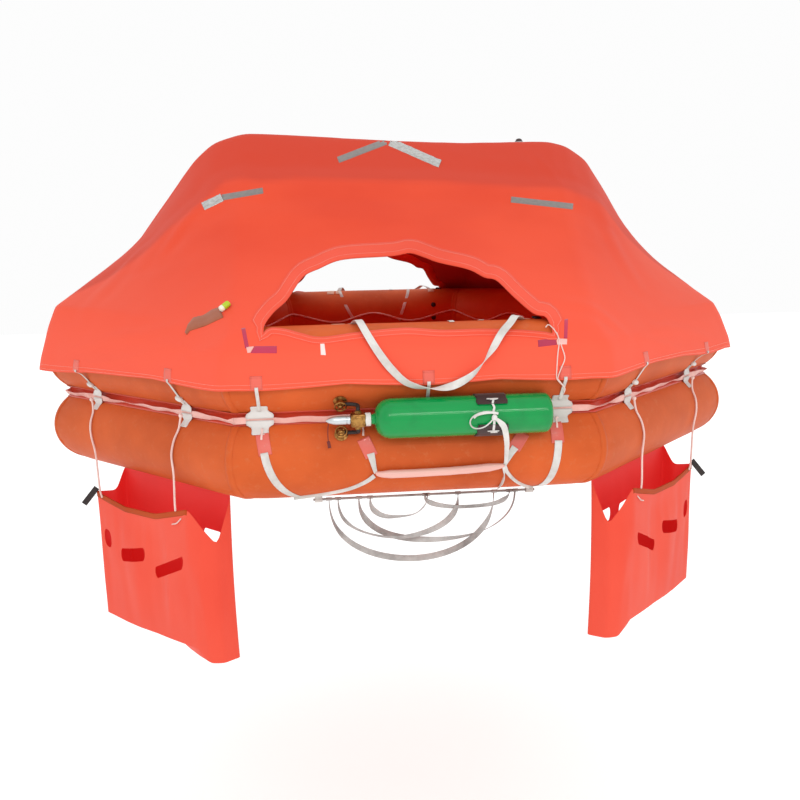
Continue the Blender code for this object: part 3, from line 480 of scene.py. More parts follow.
def seen_on(target, x, y):
    """Where the camera sees this pixel on a surface."""
    return target.ray_cast(CAMERA_PLACE, sight(x, y))[0]


def to_line(points, line):
    """Each point's distance from a line of points, and how far along the line its foot is, 0 to 1."""
    line = np.array([tuple(p) for p in line], float)
    lengths = np.linalg.norm(np.diff(line, axis=0), axis=1)
    total, walked = lengths.sum(), 0.0
    best = np.full(points.shape[:-1], np.inf)
    share = np.zeros(points.shape[:-1])
    for a, b, length in zip(line, line[1:], lengths):
        along = (b - a) / length
        foot = np.clip((points - a) @ along, 0, length)
        gap = np.linalg.norm(points - (a + foot[..., None] * along), axis=-1)
        closer = gap < best
        share = np.where(closer, (walked + foot) / total, share)
        best = np.minimum(best, gap)
        walked += length
    return best, share


# Lines in the camera's 800 x 800 frame, in pixels: the soft line under the ridge, and folds with their
# height and half width in millimetres
LAYER_LINE = [(150, 252), (170, 232), (206, 203), (225, 185), (262, 185), (300, 182), (440, 184), (520, 190),
              (580, 198), (600, 208)]
LAYER_RISE, LAYER_REACH, LAYER_EDGE, LAYER_FADE = 0.013, 0.16, 0.05, 0.08
FOLDS = [([(60, 352), (120, 338), (190, 326)], 4.0, 26), ([(56, 366), (110, 361), (160, 352)], 3.5, 16),
         ([(66, 372), (100, 366)], 3.0, 9), ([(150, 380), (200, 356), (240, 336)], 2.5, 24),
         ([(206, 203), (182, 228), (158, 262)], 5.0, 30), ([(140, 250), (110, 284), (84, 318)], 4.5, 40),
         ([(512, 150), (530, 168), (544, 188)], 3.0, 13), ([(528, 148), (545, 164), (560, 184)], 2.5, 13),
         ([(600, 208), (612, 240), (640, 290)], 5.0, 42), ([(719, 352), (680, 350), (640, 338)], 3.5, 15),
         ([(718, 340), (690, 332), (650, 326)], 4.0, 20), ([(708, 356), (684, 362), (660, 366)], 3.0, 8),
         ([(553, 300), (600, 312), (630, 340)], 4.0, 30), ([(610, 378), (606, 360), (598, 340)], 2.5, 10),
         ([(196, 386), (192, 366), (180, 346)], 2.5, 12), ([(249, 388), (246, 372), (236, 356)], 2.0, 9),
         ([(404, 388), (402, 370), (392, 352)], 2.0, 9), ([(568, 384), (572, 366), (580, 346)], 2.5, 10)]
HEM_TIES = [(-1.52, 0.0), (-1.42, -0.66), (-0.735, -1.42), (-0.53, -1.48), (0.03, -1.48), (0.52, -1.48),
            (0.70, -1.45), (1.33, -0.80), (1.50, -0.55), (1.52, 0.0)]
# Between two ties the hem rises by this much, within this distance of each, from this row share down
SCALLOP, SCALLOP_REACH, SCALLOP_FROM, SCALLOP_SPAN = 0.016, 0.30, 0.86, 0.14
SLACK_HEIGHT, CRUMPLE_HEIGHT, SLACK_ENDS = 0.004, 0.0012, 0.8
# A fold has a hollow beside it: how far from its crest in half widths, and how deep against its height
HOLLOW_AWAY, HOLLOW_DEPTH = 1.7, 0.45

base_tree = tree_of(half)


def traced(pixels):
    """A line of pixels laid on the stretched cloth."""
    spots = [seen_on(base_tree, x, y) for x, y in pixels]
    return [spot for spot in spots if spot is not None]


layer_line = traced(LAYER_LINE)
fold_lines = [(traced(pixels), height / 1000, width / 1000) for pixels, height, width in FOLDS]
gap, _ = to_line(half, layer_line)
fade = np.clip(np.linspace(0, 1, ROWS) / LAYER_FADE, 0, 1)[:, None]
lift = LAYER_RISE * np.maximum(0, 1 - gap / LAYER_REACH) * fade
for line, height, width in fold_lines:
    if len(line) < 2:
        continue
    gap, share = to_line(half, line)
    taper = np.sin(math.pi * np.clip(share, 0.04, 0.96)) ** 0.6
    crest, hollow = np.exp(-(gap / width) ** 2), np.exp(-((gap - HOLLOW_AWAY * width) / width) ** 2)
    lift = lift + height * taper * (crest - HOLLOW_DEPTH * hollow)
for row in range(ROWS):
    slack = math.sin(math.pi * min(row / (ROWS - 1) / SLACK_ENDS, 1.0))
    for column in range(COLUMNS):
        p = Vector(half[row, column])
        lift[row, column] += (SLACK_HEIGHT * slack * noise.noise(p * 2.3)
                              + CRUMPLE_HEIGHT * noise.noise(p * 11.0))
half = half + outer_normals(half) * lift[..., None]

tie_gap = np.min([np.linalg.norm(half[-1, :, :2] - np.array(tie), axis=1) for tie in HEM_TIES], axis=0)
rise = SCALLOP * np.clip(tie_gap / SCALLOP_REACH, 0, 1) ** 1.5
weight = np.clip((np.linspace(0, 1, ROWS) - SCALLOP_FROM) / SCALLOP_SPAN, 0, 1) ** 1.5
half[..., 2] += weight[:, None] * rise[None, :]
half[0, :, 1] = 0.0
half[:, 0, 1] = half[:, -1, 1] = 0.0

# The door's edge in the camera's frame, its sill last, cut in the cloth in front and again behind
DOOR_EDGE = [(262, 336), (263.5, 324), (273, 311), (286, 299), (302, 276), (319, 267), (343, 258),
             (392, 254.5), (410, 251.5), (425, 256), (439, 261), (469, 268), (485, 276), (497, 279),
             (515, 296), (534, 312), (547, 316), (554, 334), (545, 333), (520, 331), (480, 330), (442, 331),
             (405, 329), (360, 333), (321, 338), (300, 334), (285, 330), (270, 329)]
DOOR_STEPS, DOOR_FRONT_Y, DOOR_LOWEST = 170, -0.70, SKIRT_Z + 0.08
SNAP_REACH = 0.045
# A pixel that just misses the cloth is looked for this many pixels above and below
SEARCH_PIXELS = 25
cloth_tree = tree_of(half)


def on_cloth(x, y, lift=0.0):
    """Where the camera sees a pixel on the cover, raised from the cloth by lift."""
    for shift in sorted(range(-SEARCH_PIXELS, SEARCH_PIXELS + 1), key=abs):
        look = sight(x, y + shift)
        spot, normal, _, _ = cloth_tree.ray_cast(CAMERA_PLACE, look)
        if spot is not None:
            return spot + normal * (lift if normal.dot(look) < 0 else -lift)
    raise ValueError(f"no cloth near pixel {x}, {y}")


door_pixels = smooth_path(DOOR_EDGE + DOOR_EDGE[:1], DOOR_STEPS)[:-1]
door = np.array([on_cloth(x, y) for x, y in door_pixels])


def inside(x, z, outline):
    """Whether a point lies inside an outline of (x, z) points."""
    x0, z0 = outline[:, 0], outline[:, 1]
    x1, z1 = np.roll(x0, -1), np.roll(z0, -1)
    crosses = (z0 > z) != (z1 > z)
    meet = x0 + (z - z0) / np.where(z1 == z0, 1e-9, z1 - z0) * (x1 - x0)
    return bool(np.sum(crosses & (x < meet)) % 2)


def cut_door(mesh, facing):
    """Removes the cloth inside a door and draws the cut edge onto the door's line."""
    gone = []
    for face in mesh.faces:
        middle = face.calc_center_median()
        if middle.y * facing < DOOR_FRONT_Y and inside(middle.x, middle.z, door[:, ::2]):
            gone.append(face)
    bmesh.ops.delete(mesh, geom=gone, context="FACES")
    line = door * np.array([1, facing, 1])
    for vert in mesh.verts:
        if vert.is_boundary and vert.co.y * facing < DOOR_FRONT_Y and vert.co.z > DOOR_LOWEST:
            gaps = np.linalg.norm(line - np.array(vert.co), axis=1)
            if gaps.min() < SNAP_REACH:
                vert.co = line[np.argmin(gaps)]


canopy = join([skin("front", half), skin("rear", half * TO_REAR)], "canopy")
mesh = bmesh.new()
mesh.from_mesh(canopy.data)
bmesh.ops.remove_doubles(mesh, verts=mesh.verts, dist=0.0005)
cut_door(mesh, 1)
cut_door(mesh, -1)
bmesh.ops.remove_doubles(mesh, verts=mesh.verts, dist=0.0002)
bmesh.ops.recalc_face_normals(mesh, faces=mesh.faces)
ridge_face = max(mesh.faces, key=lambda face: face.calc_center_median().z)
if ridge_face.normal.z < 0:
    bmesh.ops.reverse_faces(mesh, faces=mesh.faces)
mesh.to_mesh(canopy.data)
mesh.free()
canopy.data.shade_smooth()

# Nylon coated with polyurethane in a signal colour: matt, a little glowing, with clouds where it is
# stretched. Above the line of the layer sewn in under the ridge it is painted deeper, partly for the
# double cloth and partly as painted shade; low down it is painted paler, a painted light from the front.
CANOPY_CORAL, CANOPY_CLOUDY, CANOPY_LIT_PINK, CANOPY_DEEP_AND_SHADED = "#E84C2C", "#E04426", "#EE5A42", "#D43C20"
CANOPY_WEAVE_MM = 5.0
# Between these heights the cover turns to its paler colour: painted light from the front
LIT_FROM_Z, LIT_TO_Z = 0.95, 0.46


def ripple(tree, value, period):
    """A wave from 0 to 1 that repeats at each period, in the value's own unit."""
    turns = add(tree, "ShaderNodeMath", {0: value, 1: 2 * math.pi / period}, operation="MULTIPLY")
    wave = add(tree, "ShaderNodeMath", {0: turns.outputs[0]}, operation="SINE")
    raised = add(tree, "ShaderNodeMath", {0: wave.outputs[0], 1: 0.5, 2: 0.5}, operation="MULTIPLY_ADD")
    return raised.outputs[0]


def woven(tree, place, period):
    """The height of a plain weave on three axes."""
    axes = add(tree, "ShaderNodeSeparateXYZ", {0: place}).outputs
    height = ripple(tree, axes[0], period)
    for axis in axes[1:]:
        both = add(tree, "ShaderNodeMath", {0: height, 1: ripple(tree, axis, period)}, operation="ADD")
        height = both.outputs[0]
    return height


def cloth_material(name, base, cloudy, lit_low_colour=None, deep_and_shade=None, **values):
    """Coated cloth: cloudy colour and a plain weave; where asked, painted paler low down as painted light
    from the front, and deeper under the ridge, partly as painted shade. Its real threads are under 1 mm
    apart; they are drawn at 5 mm, so that they show."""
    material, tree, shader = start_material(name, **values)
    place = add(tree, "ShaderNodeTexCoord").outputs["Object"]
    colour, _ = patchy(tree, (1.9, 3.0, 0.5), (0.36, 0.66), base, cloudy)
    # Paler low down: painted light from the front
    if lit_low_colour:
        height = add(tree, "ShaderNodeSeparateXYZ", {0: place}).outputs["Z"]
        low = add(tree, "ShaderNodeMapRange", {"Value": height, "From Min": LIT_FROM_Z,
                                               "From Max": LIT_TO_Z}).outputs[0]
        colour = add(tree, "ShaderNodeMix", {0: low, 6: colour, 7: lit_low_colour}, data_type="RGBA").outputs[2]
    # Deeper above the layer's line: partly the double cloth, partly painted shade
    if deep_and_shade:
        layer = add(tree, "ShaderNodeAttribute", attribute_name="layer").outputs["Fac"]
        colour = add(tree, "ShaderNodeMix", {0: layer, 6: colour, 7: deep_and_shade}, data_type="RGBA").outputs[2]
    surface(tree, shader, colour, woven(tree, place, CANOPY_WEAVE_MM / 1000), 0.0003, 0.35)
    return material


canopy_cloth = cloth_material("polyurethane_coated_nylon", CANOPY_CORAL, CANOPY_CLOUDY, CANOPY_LIT_PINK,
                              CANOPY_DEEP_AND_SHADED, Roughness=0.6, Sheen_Weight=0.03, Specular_IOR_Level=0.12)
# The inner face is the same cloth in a deeper red, which stands for the light that comes through the cloth:
# painted light
canopy_lining_painted_light = cloth_material("red_lining_painted_light", "#C4302E", "#AA2626", Roughness=0.7, Sheen_Weight=0.1,
                               Specular_IOR_Level=0.25)


def applied(obj):
    """The piece with its modifiers' result as its mesh."""
    graph = bpy.context.evaluated_depsgraph_get()
    data = bpy.data.meshes.new_from_object(obj.evaluated_get(graph))
    obj.modifiers.clear()
    obj.data = data
    return obj


def thickened(obj, thickness, outer, inner):
    """A cloth shell with its wall, and the inner face's own material."""
    wall = obj.modifiers.new("wall", "SOLIDIFY")
    wall.thickness = thickness
    wall.offset = -1.0
    wall.material_offset = 1
    obj.data.materials.append(outer)
    obj.data.materials.append(inner)
    return applied(obj)


canopy = thickened(canopy, CLOTH, canopy_cloth, canopy_lining_painted_light)
points = np.array([v.co for v in canopy.data.vertices])
line = np.array(sorted(tuple(p) for p in layer_line))
line_y = np.interp(points[:, 0], line[:, 0], line[:, 1])
# The share of the cover above the layer's line, which is painted deeper: partly the double cloth, partly
# painted shade
attribute = canopy.data.attributes.new("layer", "FLOAT", "POINT")
value = np.clip((-line_y - np.abs(points[:, 1])) / LAYER_EDGE + 0.5, 0, 1)
attribute.data.foreach_set("value", value.astype(np.float32))
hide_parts("canopy_front", "canopy_rear")
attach(canopy, "raft")


def mirrored(obj, name):
    """A copy behind the arch of a piece in front of it."""
    data = obj.data.copy()
    data.transform(Matrix.Scale(-1, 4, (0, 1, 0)))
    return face_out(placed(name, data))


# Door hems
# A folded hem, a little paler than the cover, strengthens the edge of each door. It is sewn flat on the
# cloth, puckers where the edge curves, and turns over the cut edge to the inside.
HEM_PIXELS, SILL_HEM_PIXELS, SILL_PIXEL = 12.5, 6.0, 327
HEM_RISE, HEM_PUCKER, HEM_TURNED_IN = 0.0014, 0.0016, -0.0030
hem_turn = unit(np.roll(door_pixels, -1, axis=0) - np.roll(door_pixels, 1, axis=0))
hem_out = np.stack([hem_turn[:, 1], -hem_turn[:, 0]], axis=1)
rows = []
for index, (pixel, out) in enumerate(zip(door_pixels, hem_out)):
    wide = SILL_HEM_PIXELS if pixel[1] > SILL_PIXEL else HEM_PIXELS
    pucker = HEM_PUCKER * noise.noise((index * 0.35, 3.0, 0.0))
    section = ((-1.2, HEM_TURNED_IN), (-1.4, 0.0), (0.3, HEM_RISE), (wide * 0.35, HEM_RISE + pucker),
               (wide * 0.75, HEM_RISE - pucker * 0.5), (wide, HEM_RISE), (wide * 1.02, -0.0006),
               (0.8, HEM_TURNED_IN))
    rows.append([on_cloth(*(pixel + out * reach), lift) for reach, lift in section])
door_hem = face_out(skin("door_hem_front", np.array(rows), around=True, along=True))
hem_cloth = cloth_material("folded_coated_nylon", "#EE5A44", "#E65038", Roughness=0.6, Sheen_Weight=0.04,
                           Specular_IOR_Level=0.15)
door_hems = [door_hem, mirrored(door_hem, "door_hem_rear")]
for one in door_hems:
    finish(one, hem_cloth)

# Tapes
# Four strips of retro-reflective tape are glued to each slope: two that cross on the ridge, and one at
# each end below it. Flat ones are grey, and creased ones are painted silver, a painted reflection.
TAPE_THICK = 0.0006
# Where each starts and ends and its half width, in pixels, and how far its creases stand up
TAPES = [("left_low", (222, 197.5), (263, 190.5), 3.0, 0.0),
         ("left_creased", (203, 206.5), (222, 197.5), 4.0, 0.0016),
         ("right_low", (511, 199.5), (573, 206.5), 3.0, 0.0),
         ("cross_flat", (338, 160), (386, 141.5), 3.2, 0.0),
         ("cross_creased", (390, 142), (440, 164), 4.0, 0.0016)]
TAPE_CELL_MM = 6.0
# A strip's section: how far across it, and what share of its thickness; and how far it sinks in the cloth
STRIP_SECTION = ((0.0, 0.3), (0.04, 1.0), (0.35, 1.0), (0.65, 1.0), (0.96, 1.0), (1.0, 0.3))
STRIP_SINK = -0.0004


def slab(name, top, bottom):
    """A thin closed piece between two grids of points, with u down its rows and v across, in metres."""
    grid = np.concatenate([top, bottom[:, ::-1]], axis=1)
    u, v = walked(top[:, top.shape[1] // 2]), walked(top[len(top) // 2])
    uv = np.stack(np.broadcast_arrays(u[:, None], np.concatenate([v, v[::-1]])[None, :]), axis=-1)
    return face_out(skin(name, grid, around=True, uv=uv, ends=(0, -1)))


def laid_on_cloth(name, rows, thickness, creases=0.0):
    """A strip on the cover; rows are pairs of pixels, its left and right edge, from end to end."""
    rows = np.array(rows, float)
    top, bottom = [], []
    for index, (left, right) in enumerate(rows):
        crumple = creases * abs(noise.noise((index * 0.55, 1.7, 0.0))) * 2
        places = [left + (right - left) * part for part, _ in STRIP_SECTION]
        top.append([on_cloth(*p, thickness * k + crumple) for p, (_, k) in zip(places, STRIP_SECTION)])
        bottom.append([on_cloth(*p, STRIP_SINK) for p in places])
    return slab(name, np.array(top), np.array(bottom))


def strip_rows(start, end, half_width, steps=26):
    """The edges of a straight strip, as pairs of pixels."""
    start, end = np.array(start, float), np.array(end, float)
    across = np.array([end[1] - start[1], start[0] - end[0]]) / np.linalg.norm(end - start) * half_width
    return [(start + (end - start) * t - across, start + (end - start) * t + across)
            for t in np.linspace(0, 1, steps)]


def tape_material(name, colour, roughness, metallic):
    """Glass-bead tape: a film of the given colour with small cells; the silver of creased strips is a painted
    reflection. The real cells are about 3 mm wide; they are drawn at 6 mm, so that they show."""
    material, tree, shader = start_material(name, Roughness=roughness, Metallic=metallic, Coat_Weight=0.3)
    place = add(tree, "ShaderNodeTexCoord").outputs["Object"]
    cells = add(tree, "ShaderNodeTexVoronoi", {"Vector": place, "Scale": 1000 / TAPE_CELL_MM,
                                               "Randomness": 0.1},
                feature="DISTANCE_TO_EDGE")
    scuffed, _ = patchy(tree, (60.0, 4.0, 0.5), (0.0, 1.0), colour, "#8E8883")
    surface(tree, shader, scuffed, cells.outputs[0], 0.0003, 0.4)
    return material


tape_flat = tape_material("glass_bead_tape", "#6E6662", 0.42, 0.35)
# Creased strips are painted silver: a painted reflection of the light in their creases
tape_painted_silver = tape_material("glass_bead_tape_painted_silver", "#DADDDA", 0.25, 0.8)
for label, start, end, half_width, creases in TAPES:
    tape = laid_on_cloth(f"tape_{label}", strip_rows(start, end, half_width), TAPE_THICK, creases)
    for one in (tape, mirrored(tape, f"tape_{label}_rear")):
        finish(one, tape_painted_silver if creases else tape_flat)

# Corner patches
# An angle of magenta webbing is sewn beside each lower corner of a door, with a square of clear film in its
# bend, and a white cotton tab hangs from the sill.
MAGENTA_ROWS = {
    "left_upright": [((241.3, 328.5), (245.2, 328.0)), ((245.2, 348.5), (249.0, 347.0))],
    "left_flat": [((254.8, 346.2), (250.5, 353.2)), ((276.8, 346.0), (276.8, 353.3))],
    "right_upright": [((564.5, 319.5), (568.0, 319.0)), ((563.9, 338.2), (567.3, 338.4))],
    "right_flat": [((537.8, 340.2), (538.4, 347.0)), ((555.4, 338.2), (556.9, 344.8))]}
CLEAR_ROWS = {"left": [((246.0, 347.2), (254.0, 346.5)), ((247.5, 353.0), (250.5, 352.6))],
              "right": [((556.2, 338.6), (567.2, 339.0)), ((557.2, 344.6), (567.0, 344.4))]}
TAB_ROWS = [((320.0, 339.5), (323.8, 339.2)), ((320.8, 355.0), (325.9, 355.2))]


def fine_rows(rows, steps=14):
    """More rows between a strip's two ends."""
    first, last = np.array(rows[0], float), np.array(rows[-1], float)
    return [first + (last - first) * t for t in np.linspace(0, 1, steps)]


magenta_cloth = cloth_material("magenta_webbing", "#C22A50", "#A82246", Roughness=0.7, Sheen_Weight=0.2)
clear_film = cloth_material("milky_film", "#E9A69C", "#E5B5AD", Roughness=0.3, Coat_Weight=0.4)
white_tape = cloth_material("cotton_tape", "#EBDDD8", "#DFCFC9", Roughness=0.8, Sheen_Weight=0.2)
for rows, cloth, prefix in ((MAGENTA_ROWS, magenta_cloth, "corner_patch"),
                            (CLEAR_ROWS, clear_film, "corner_film"), ({"sill": TAB_ROWS}, white_tape, "tab")):
    for label, ends in rows.items():
        patch = laid_on_cloth(f"{prefix}_{label}", fine_rows(ends), 0.0012)
        for one in (patch, mirrored(patch, f"{prefix}_{label}_rear")):
            finish(one, cloth)

# Lamp
# A small dark lamp sits on the ridge. Its yellow-green cell, which wakes in water, is tied on the slope
# beside the door, half in a brown sleeve.
LAMP_PLACE = (0.70, 1.26)
LAMP_PROFILE = [(0.0, 0.020), (0.003, 0.020), (0.0035, 0.0168), (0.009, 0.0160), (0.013, 0.0124),
                (0.0155, 0.0068), (0.016, 0.001)]
CELL_ENDS, CELL_RADIUS = ((221.5, 312.5), (231.0, 305.0)), 0.0115
SLEEVE_ROWS = [((219.5, 307.0), (223.5, 317.5)), ((212.0, 309.8), (216.0, 321.0)),
               ((202.0, 316.0), (205.5, 326.0)), ((193.5, 317.5), (196.5, 329.0)),
               ((188.0, 324.5), (190.0, 331.0)), ((185.5, 333.0), (187.0, 335.0))]


def circle_round(axis, steps):
    """The unit vector along an axis, and a circle of unit vectors round it."""
    axis = np.array(Vector(axis).normalized())
    side = unit(np.cross(axis, (0, 0, 1) if abs(axis[2]) < 0.9 else (1, 0, 0)))
    turn = np.linspace(0, 2 * math.pi, steps, endpoint=False)
    return axis, np.cos(turn)[:, None] * side + np.sin(turn)[:, None] * np.cross(axis, side)


def lathe(name, profile, start, axis, steps=48):
    """A turned piece from (reach along the axis, radius) points, closed at both ends, its edges crisp."""
    axis, circle = circle_round(axis, steps)
    grid = np.array([np.array(start) + axis * reach + circle * radius for reach, radius in profile])
    made = face_out(skin(name, grid, around=True, ends=(0, -1)))
    made.data.set_sharp_from_angle(angle=math.radians(38))
    return made


def hoop(name, centre, axis, radius, wire, steps=40, sides=10):
    """A ring of round wire."""
    axis, circle = circle_round(axis, steps)
    roll = np.linspace(0, 2 * math.pi, sides, endpoint=False)
    grid = (np.array(centre) + circle[:, None] * (radius + wire * np.cos(roll))[None, :, None]
            + axis * (wire * np.sin(roll))[None, :, None])
    return face_out(skin(name, grid, around=True, along=True))


def smooth_material(name, grain, first, second, **values):
    """A smooth material whose colour drifts a little; grain is the scale and detail of its patches."""
    material, tree, shader = start_material(name, **values)
    colour, _ = patchy(tree, (*grain, 0.5), (0.0, 1.0), first, second)
    tree.links.new(colour, shader.inputs["Base Color"])
    return material


lamp_base = arch_outer(*LAMP_PLACE, 0) + np.array([0, 0, 0.0004])
lamp = lathe("ridge_lamp", LAMP_PROFILE, lamp_base, (-0.013, 0, 1))
# Smoked polycarbonate, moulded: dark brown and glossy
smoked_plastic = smooth_material("smoked_polycarbonate", (90.0, 2.0), "#2A1512", "#3A1D18", Roughness=0.22,
                                 Coat_Weight=0.4)
finish(lamp, smoked_plastic, replaces=("canopy_lamp",))

cell_low, cell_high = (on_cloth(*pixel, CELL_RADIUS + 0.0006) for pixel in CELL_ENDS)
cell_axis = cell_high - cell_low
reach = cell_axis.length
cell_profile = [(0.0, 0.003), (0.0015, CELL_RADIUS * 0.7), (0.005, CELL_RADIUS)]
cell_profile += [(reach * share, CELL_RADIUS * wide) for share, wide in (
    (0.36, 1.0), (0.37, 0.94), (0.40, 0.94), (0.41, 1.0), (0.85, 1.0), (0.97, 0.7))]
cell = lathe("lamp_cell_case", [*cell_profile, (reach, 0.003)], cell_low, cell_axis)
# Moulded polythene in a lively yellow-green, with its open end pale
lamp_plastic, tree, shader = start_material("moulded_polythene", Roughness=0.35, Subsurface_Weight=0.1)
place = add(tree, "ShaderNodeTexCoord").outputs["Object"]
across = add(tree, "ShaderNodeVectorMath", {0: place, 1: cell_axis.normalized()}, operation="DOT_PRODUCT")
split = cell_low.dot(cell_axis.normalized()) + reach * 0.385
pale_end = add(tree, "ShaderNodeMapRange", {"Value": across.outputs["Value"], "From Min": split + 0.001,
                                            "From Max": split - 0.001})
two_tone = add(tree, "ShaderNodeMix", {0: pale_end.outputs[0], 6: "#A9C61E", 7: "#E6E2CF"}, data_type="RGBA")
tree.links.new(two_tone.outputs[2], shader.inputs["Base Color"])
finish(cell, lamp_plastic, replaces=("lamp_cell",))

# Brown proofed cotton, thin enough for the orange cloth to show through
sleeve_cloth = cloth_material("brown_proofed_cotton", "#B55F3C", "#8F4B2C", Roughness=0.75, Sheen_Weight=0.2)
coarse = np.array(SLEEVE_ROWS)
part = np.linspace(0, len(coarse) - 1, 22)
sleeve_rows = np.stack([[np.interp(part, range(len(coarse)), coarse[:, a, b]) for b in (0, 1)]
                        for a in (0, 1)])
sleeve = laid_on_cloth("lamp_cell_sleeve", np.moveaxis(sleeve_rows, -1, 0), 0.0022, 0.002)
finish(sleeve, sleeve_cloth)

# Hem ties
# Where the cover is tied down, a small patch is welded above its hem and a white tape runs from it to a
# cleat on the seam. All but those beside a door end in a toggle.
MIDDLE_TIE = 0.03
TIE_PLACES = [(0, -0.555), (0, MIDDLE_TIE), (0, 0.510), (1, -0.30), (1, 0.30), (2, -0.20), (2, 0.20),
              (3, -0.30), (3, 0.30)]
TIE_PLACES += [(side + SIDES // 2, along) for side, along in TIE_PLACES]
DOOR_SIDES = (0, 4)
TIE_PATCH_WIDE, TIE_PATCH_TALL = 0.042, 0.046
# How far the faces of a patch, and of the bar sewn on it, are above the cloth
TIE_PATCH_FACES, TIE_BAR_FACES = (0.0011, -0.0003), (0.0019, 0.0008)
TIE_BAR = np.array([-0.007, -0.001])
TIE_WIDTH, TIE_THICKNESS = 0.012, 0.0014
TIE_FOOT_UP, TIE_FOOT_CLEAR = 0.043, 0.004
TOGGLE_PROFILE = [(-0.019, 0.002), (-0.0175, 0.006), (-0.010, 0.0095), (0.0, 0.0105)]
BAND_EDGE = ((-0.5, 0.2), (-0.44, 0.5), (0.0, 0.5), (0.44, 0.5), (0.5, 0.2))


def upper_surface(up):
    """How far out the upper tube's skin is, this much above the seam."""
    drop = UPPER_Z - SEAM_Z - up
    return math.sqrt(max(TUBE_RADIUS ** 2 - drop ** 2, 0.0))


def band(name, path, across, width, thickness):
    """A strap along a path, its width in the direction across, with soft edges."""
    path = np.array(path, float)
    ahead = unit(np.gradient(path, axis=0))
    across = np.broadcast_to(np.array(across, float), path.shape)
    across = unit(across - ahead * np.sum(across * ahead, axis=1)[:, None])
    out = np.cross(across, ahead) * thickness
    width = np.broadcast_to(width, len(path))
    top, bottom = (np.stack([path + across * (v * width)[:, None] + out * (face * h) for v, h in BAND_EDGE],
                            axis=1) for face in (1, -1))
    return slab(name, top, bottom)


def barrel(name, half_profile, centre, axis, steps=14):
    """A turned piece with like ends; its half profile runs from one end to the middle."""
    other = [(-reach, radius) for reach, radius in half_profile[::-1] if reach]
    return lathe(name, half_profile + other, centre, axis, steps)


# Polyester webbing, woven: white dulled by use, with ribs across it. The real ribs are about 1 mm apart;
# they are drawn at 3 mm, so that they show.
WEB_RIB_MM, WEB_TWILL_MM = 3.0, 2.4


def webbing_material(name, colour, dull, ribs=WEB_RIB_MM):
    """Woven webbing that follows the piece's own length and width."""
    material, tree, shader = start_material(name, Roughness=0.72, Sheen_Weight=0.25, Specular_IOR_Level=0.3)
    flat = add(tree, "ShaderNodeUVMap", uv_map="along").outputs[0]
    axes = add(tree, "ShaderNodeSeparateXYZ", {0: flat}).outputs
    slanted = add(tree, "ShaderNodeMath", {0: axes[0], 1: axes[1]}, operation="ADD")
    rib = ripple(tree, slanted.outputs[0], ribs / 1000)
    twill = ripple(tree, axes[1], WEB_TWILL_MM / 1000)
    height = add(tree, "ShaderNodeMath", {0: rib, 1: twill}, operation="MULTIPLY").outputs[0]
    soiled, _ = patchy(tree, (9.0, 4.0, 0.65), (0.38, 0.7), colour, dull)
    # The weave's height also turns the colour a little towards the dull one: painted shade of the weave's
    # relief
    shade = add(tree, "ShaderNodeMath", {0: height, 1: 0.18}, operation="MULTIPLY").outputs[0]
    ribbed = add(tree, "ShaderNodeMix", {0: shade, 6: soiled, 7: dull}, data_type="RGBA")
    surface(tree, shader, ribbed.outputs[2], height, 0.0005, 0.6)
    return material


webbing = webbing_material("polyester_webbing", "#DEDBD6", "#BDB6AF")
pink_webbing = webbing_material("stained_polyester_webbing", "#EDBBB1", "#DE9A8D")
welded_patch = cloth_material("welded_film_patch", "#DE6557", "#D25748", Roughness=0.4, Coat_Weight=0.15)
cover_patch = cloth_material("welded_cover_patch", "#E0604E", "#DB5745", Roughness=0.45, Coat_Weight=0.15)
# Acetal, moulded: white, smooth and a little grimy
white_acetal = smooth_material("white_acetal", (70.0, 3.0), "#E4E1DC", "#CFC9C2", Roughness=0.4)
hem_tree = tree_of(half, half * TO_REAR)


def on_cover(side, along, z, lift):
    """A place on the cover beside one side of the plan, at a height."""
    inward = Vector((-OUTWARD[side][0], -OUTWARD[side][1], 0.0))
    spot, normal, _, _ = hem_tree.ray_cast(Vector(side_point(side, along, 0.6, z)), inward)
    if spot is None:
        return np.array(side_point(side, along, OVER_TUBE + lift, z))
    return np.array(spot + normal * (lift if normal.dot(inward) < 0 else -lift))


def cover_slab(name, side, across, heights, rise, sink):
    """A thin piece on the cover, from rise above its cloth down to sink."""
    return slab(name, *(np.array([[on_cover(side, a, z, lift) for a in across] for z in heights])
                        for lift in (rise, sink)))


def hem_height(side, along):
    """The height of the cover's edge beside a side of the plan."""
    place = side_point(side, along, OVER_TUBE, 0)
    in_front = np.array([place[0], -abs(place[1])])
    return half[-1, np.argmin(np.linalg.norm(half[-1, :, :2] - in_front, axis=1)), 2]


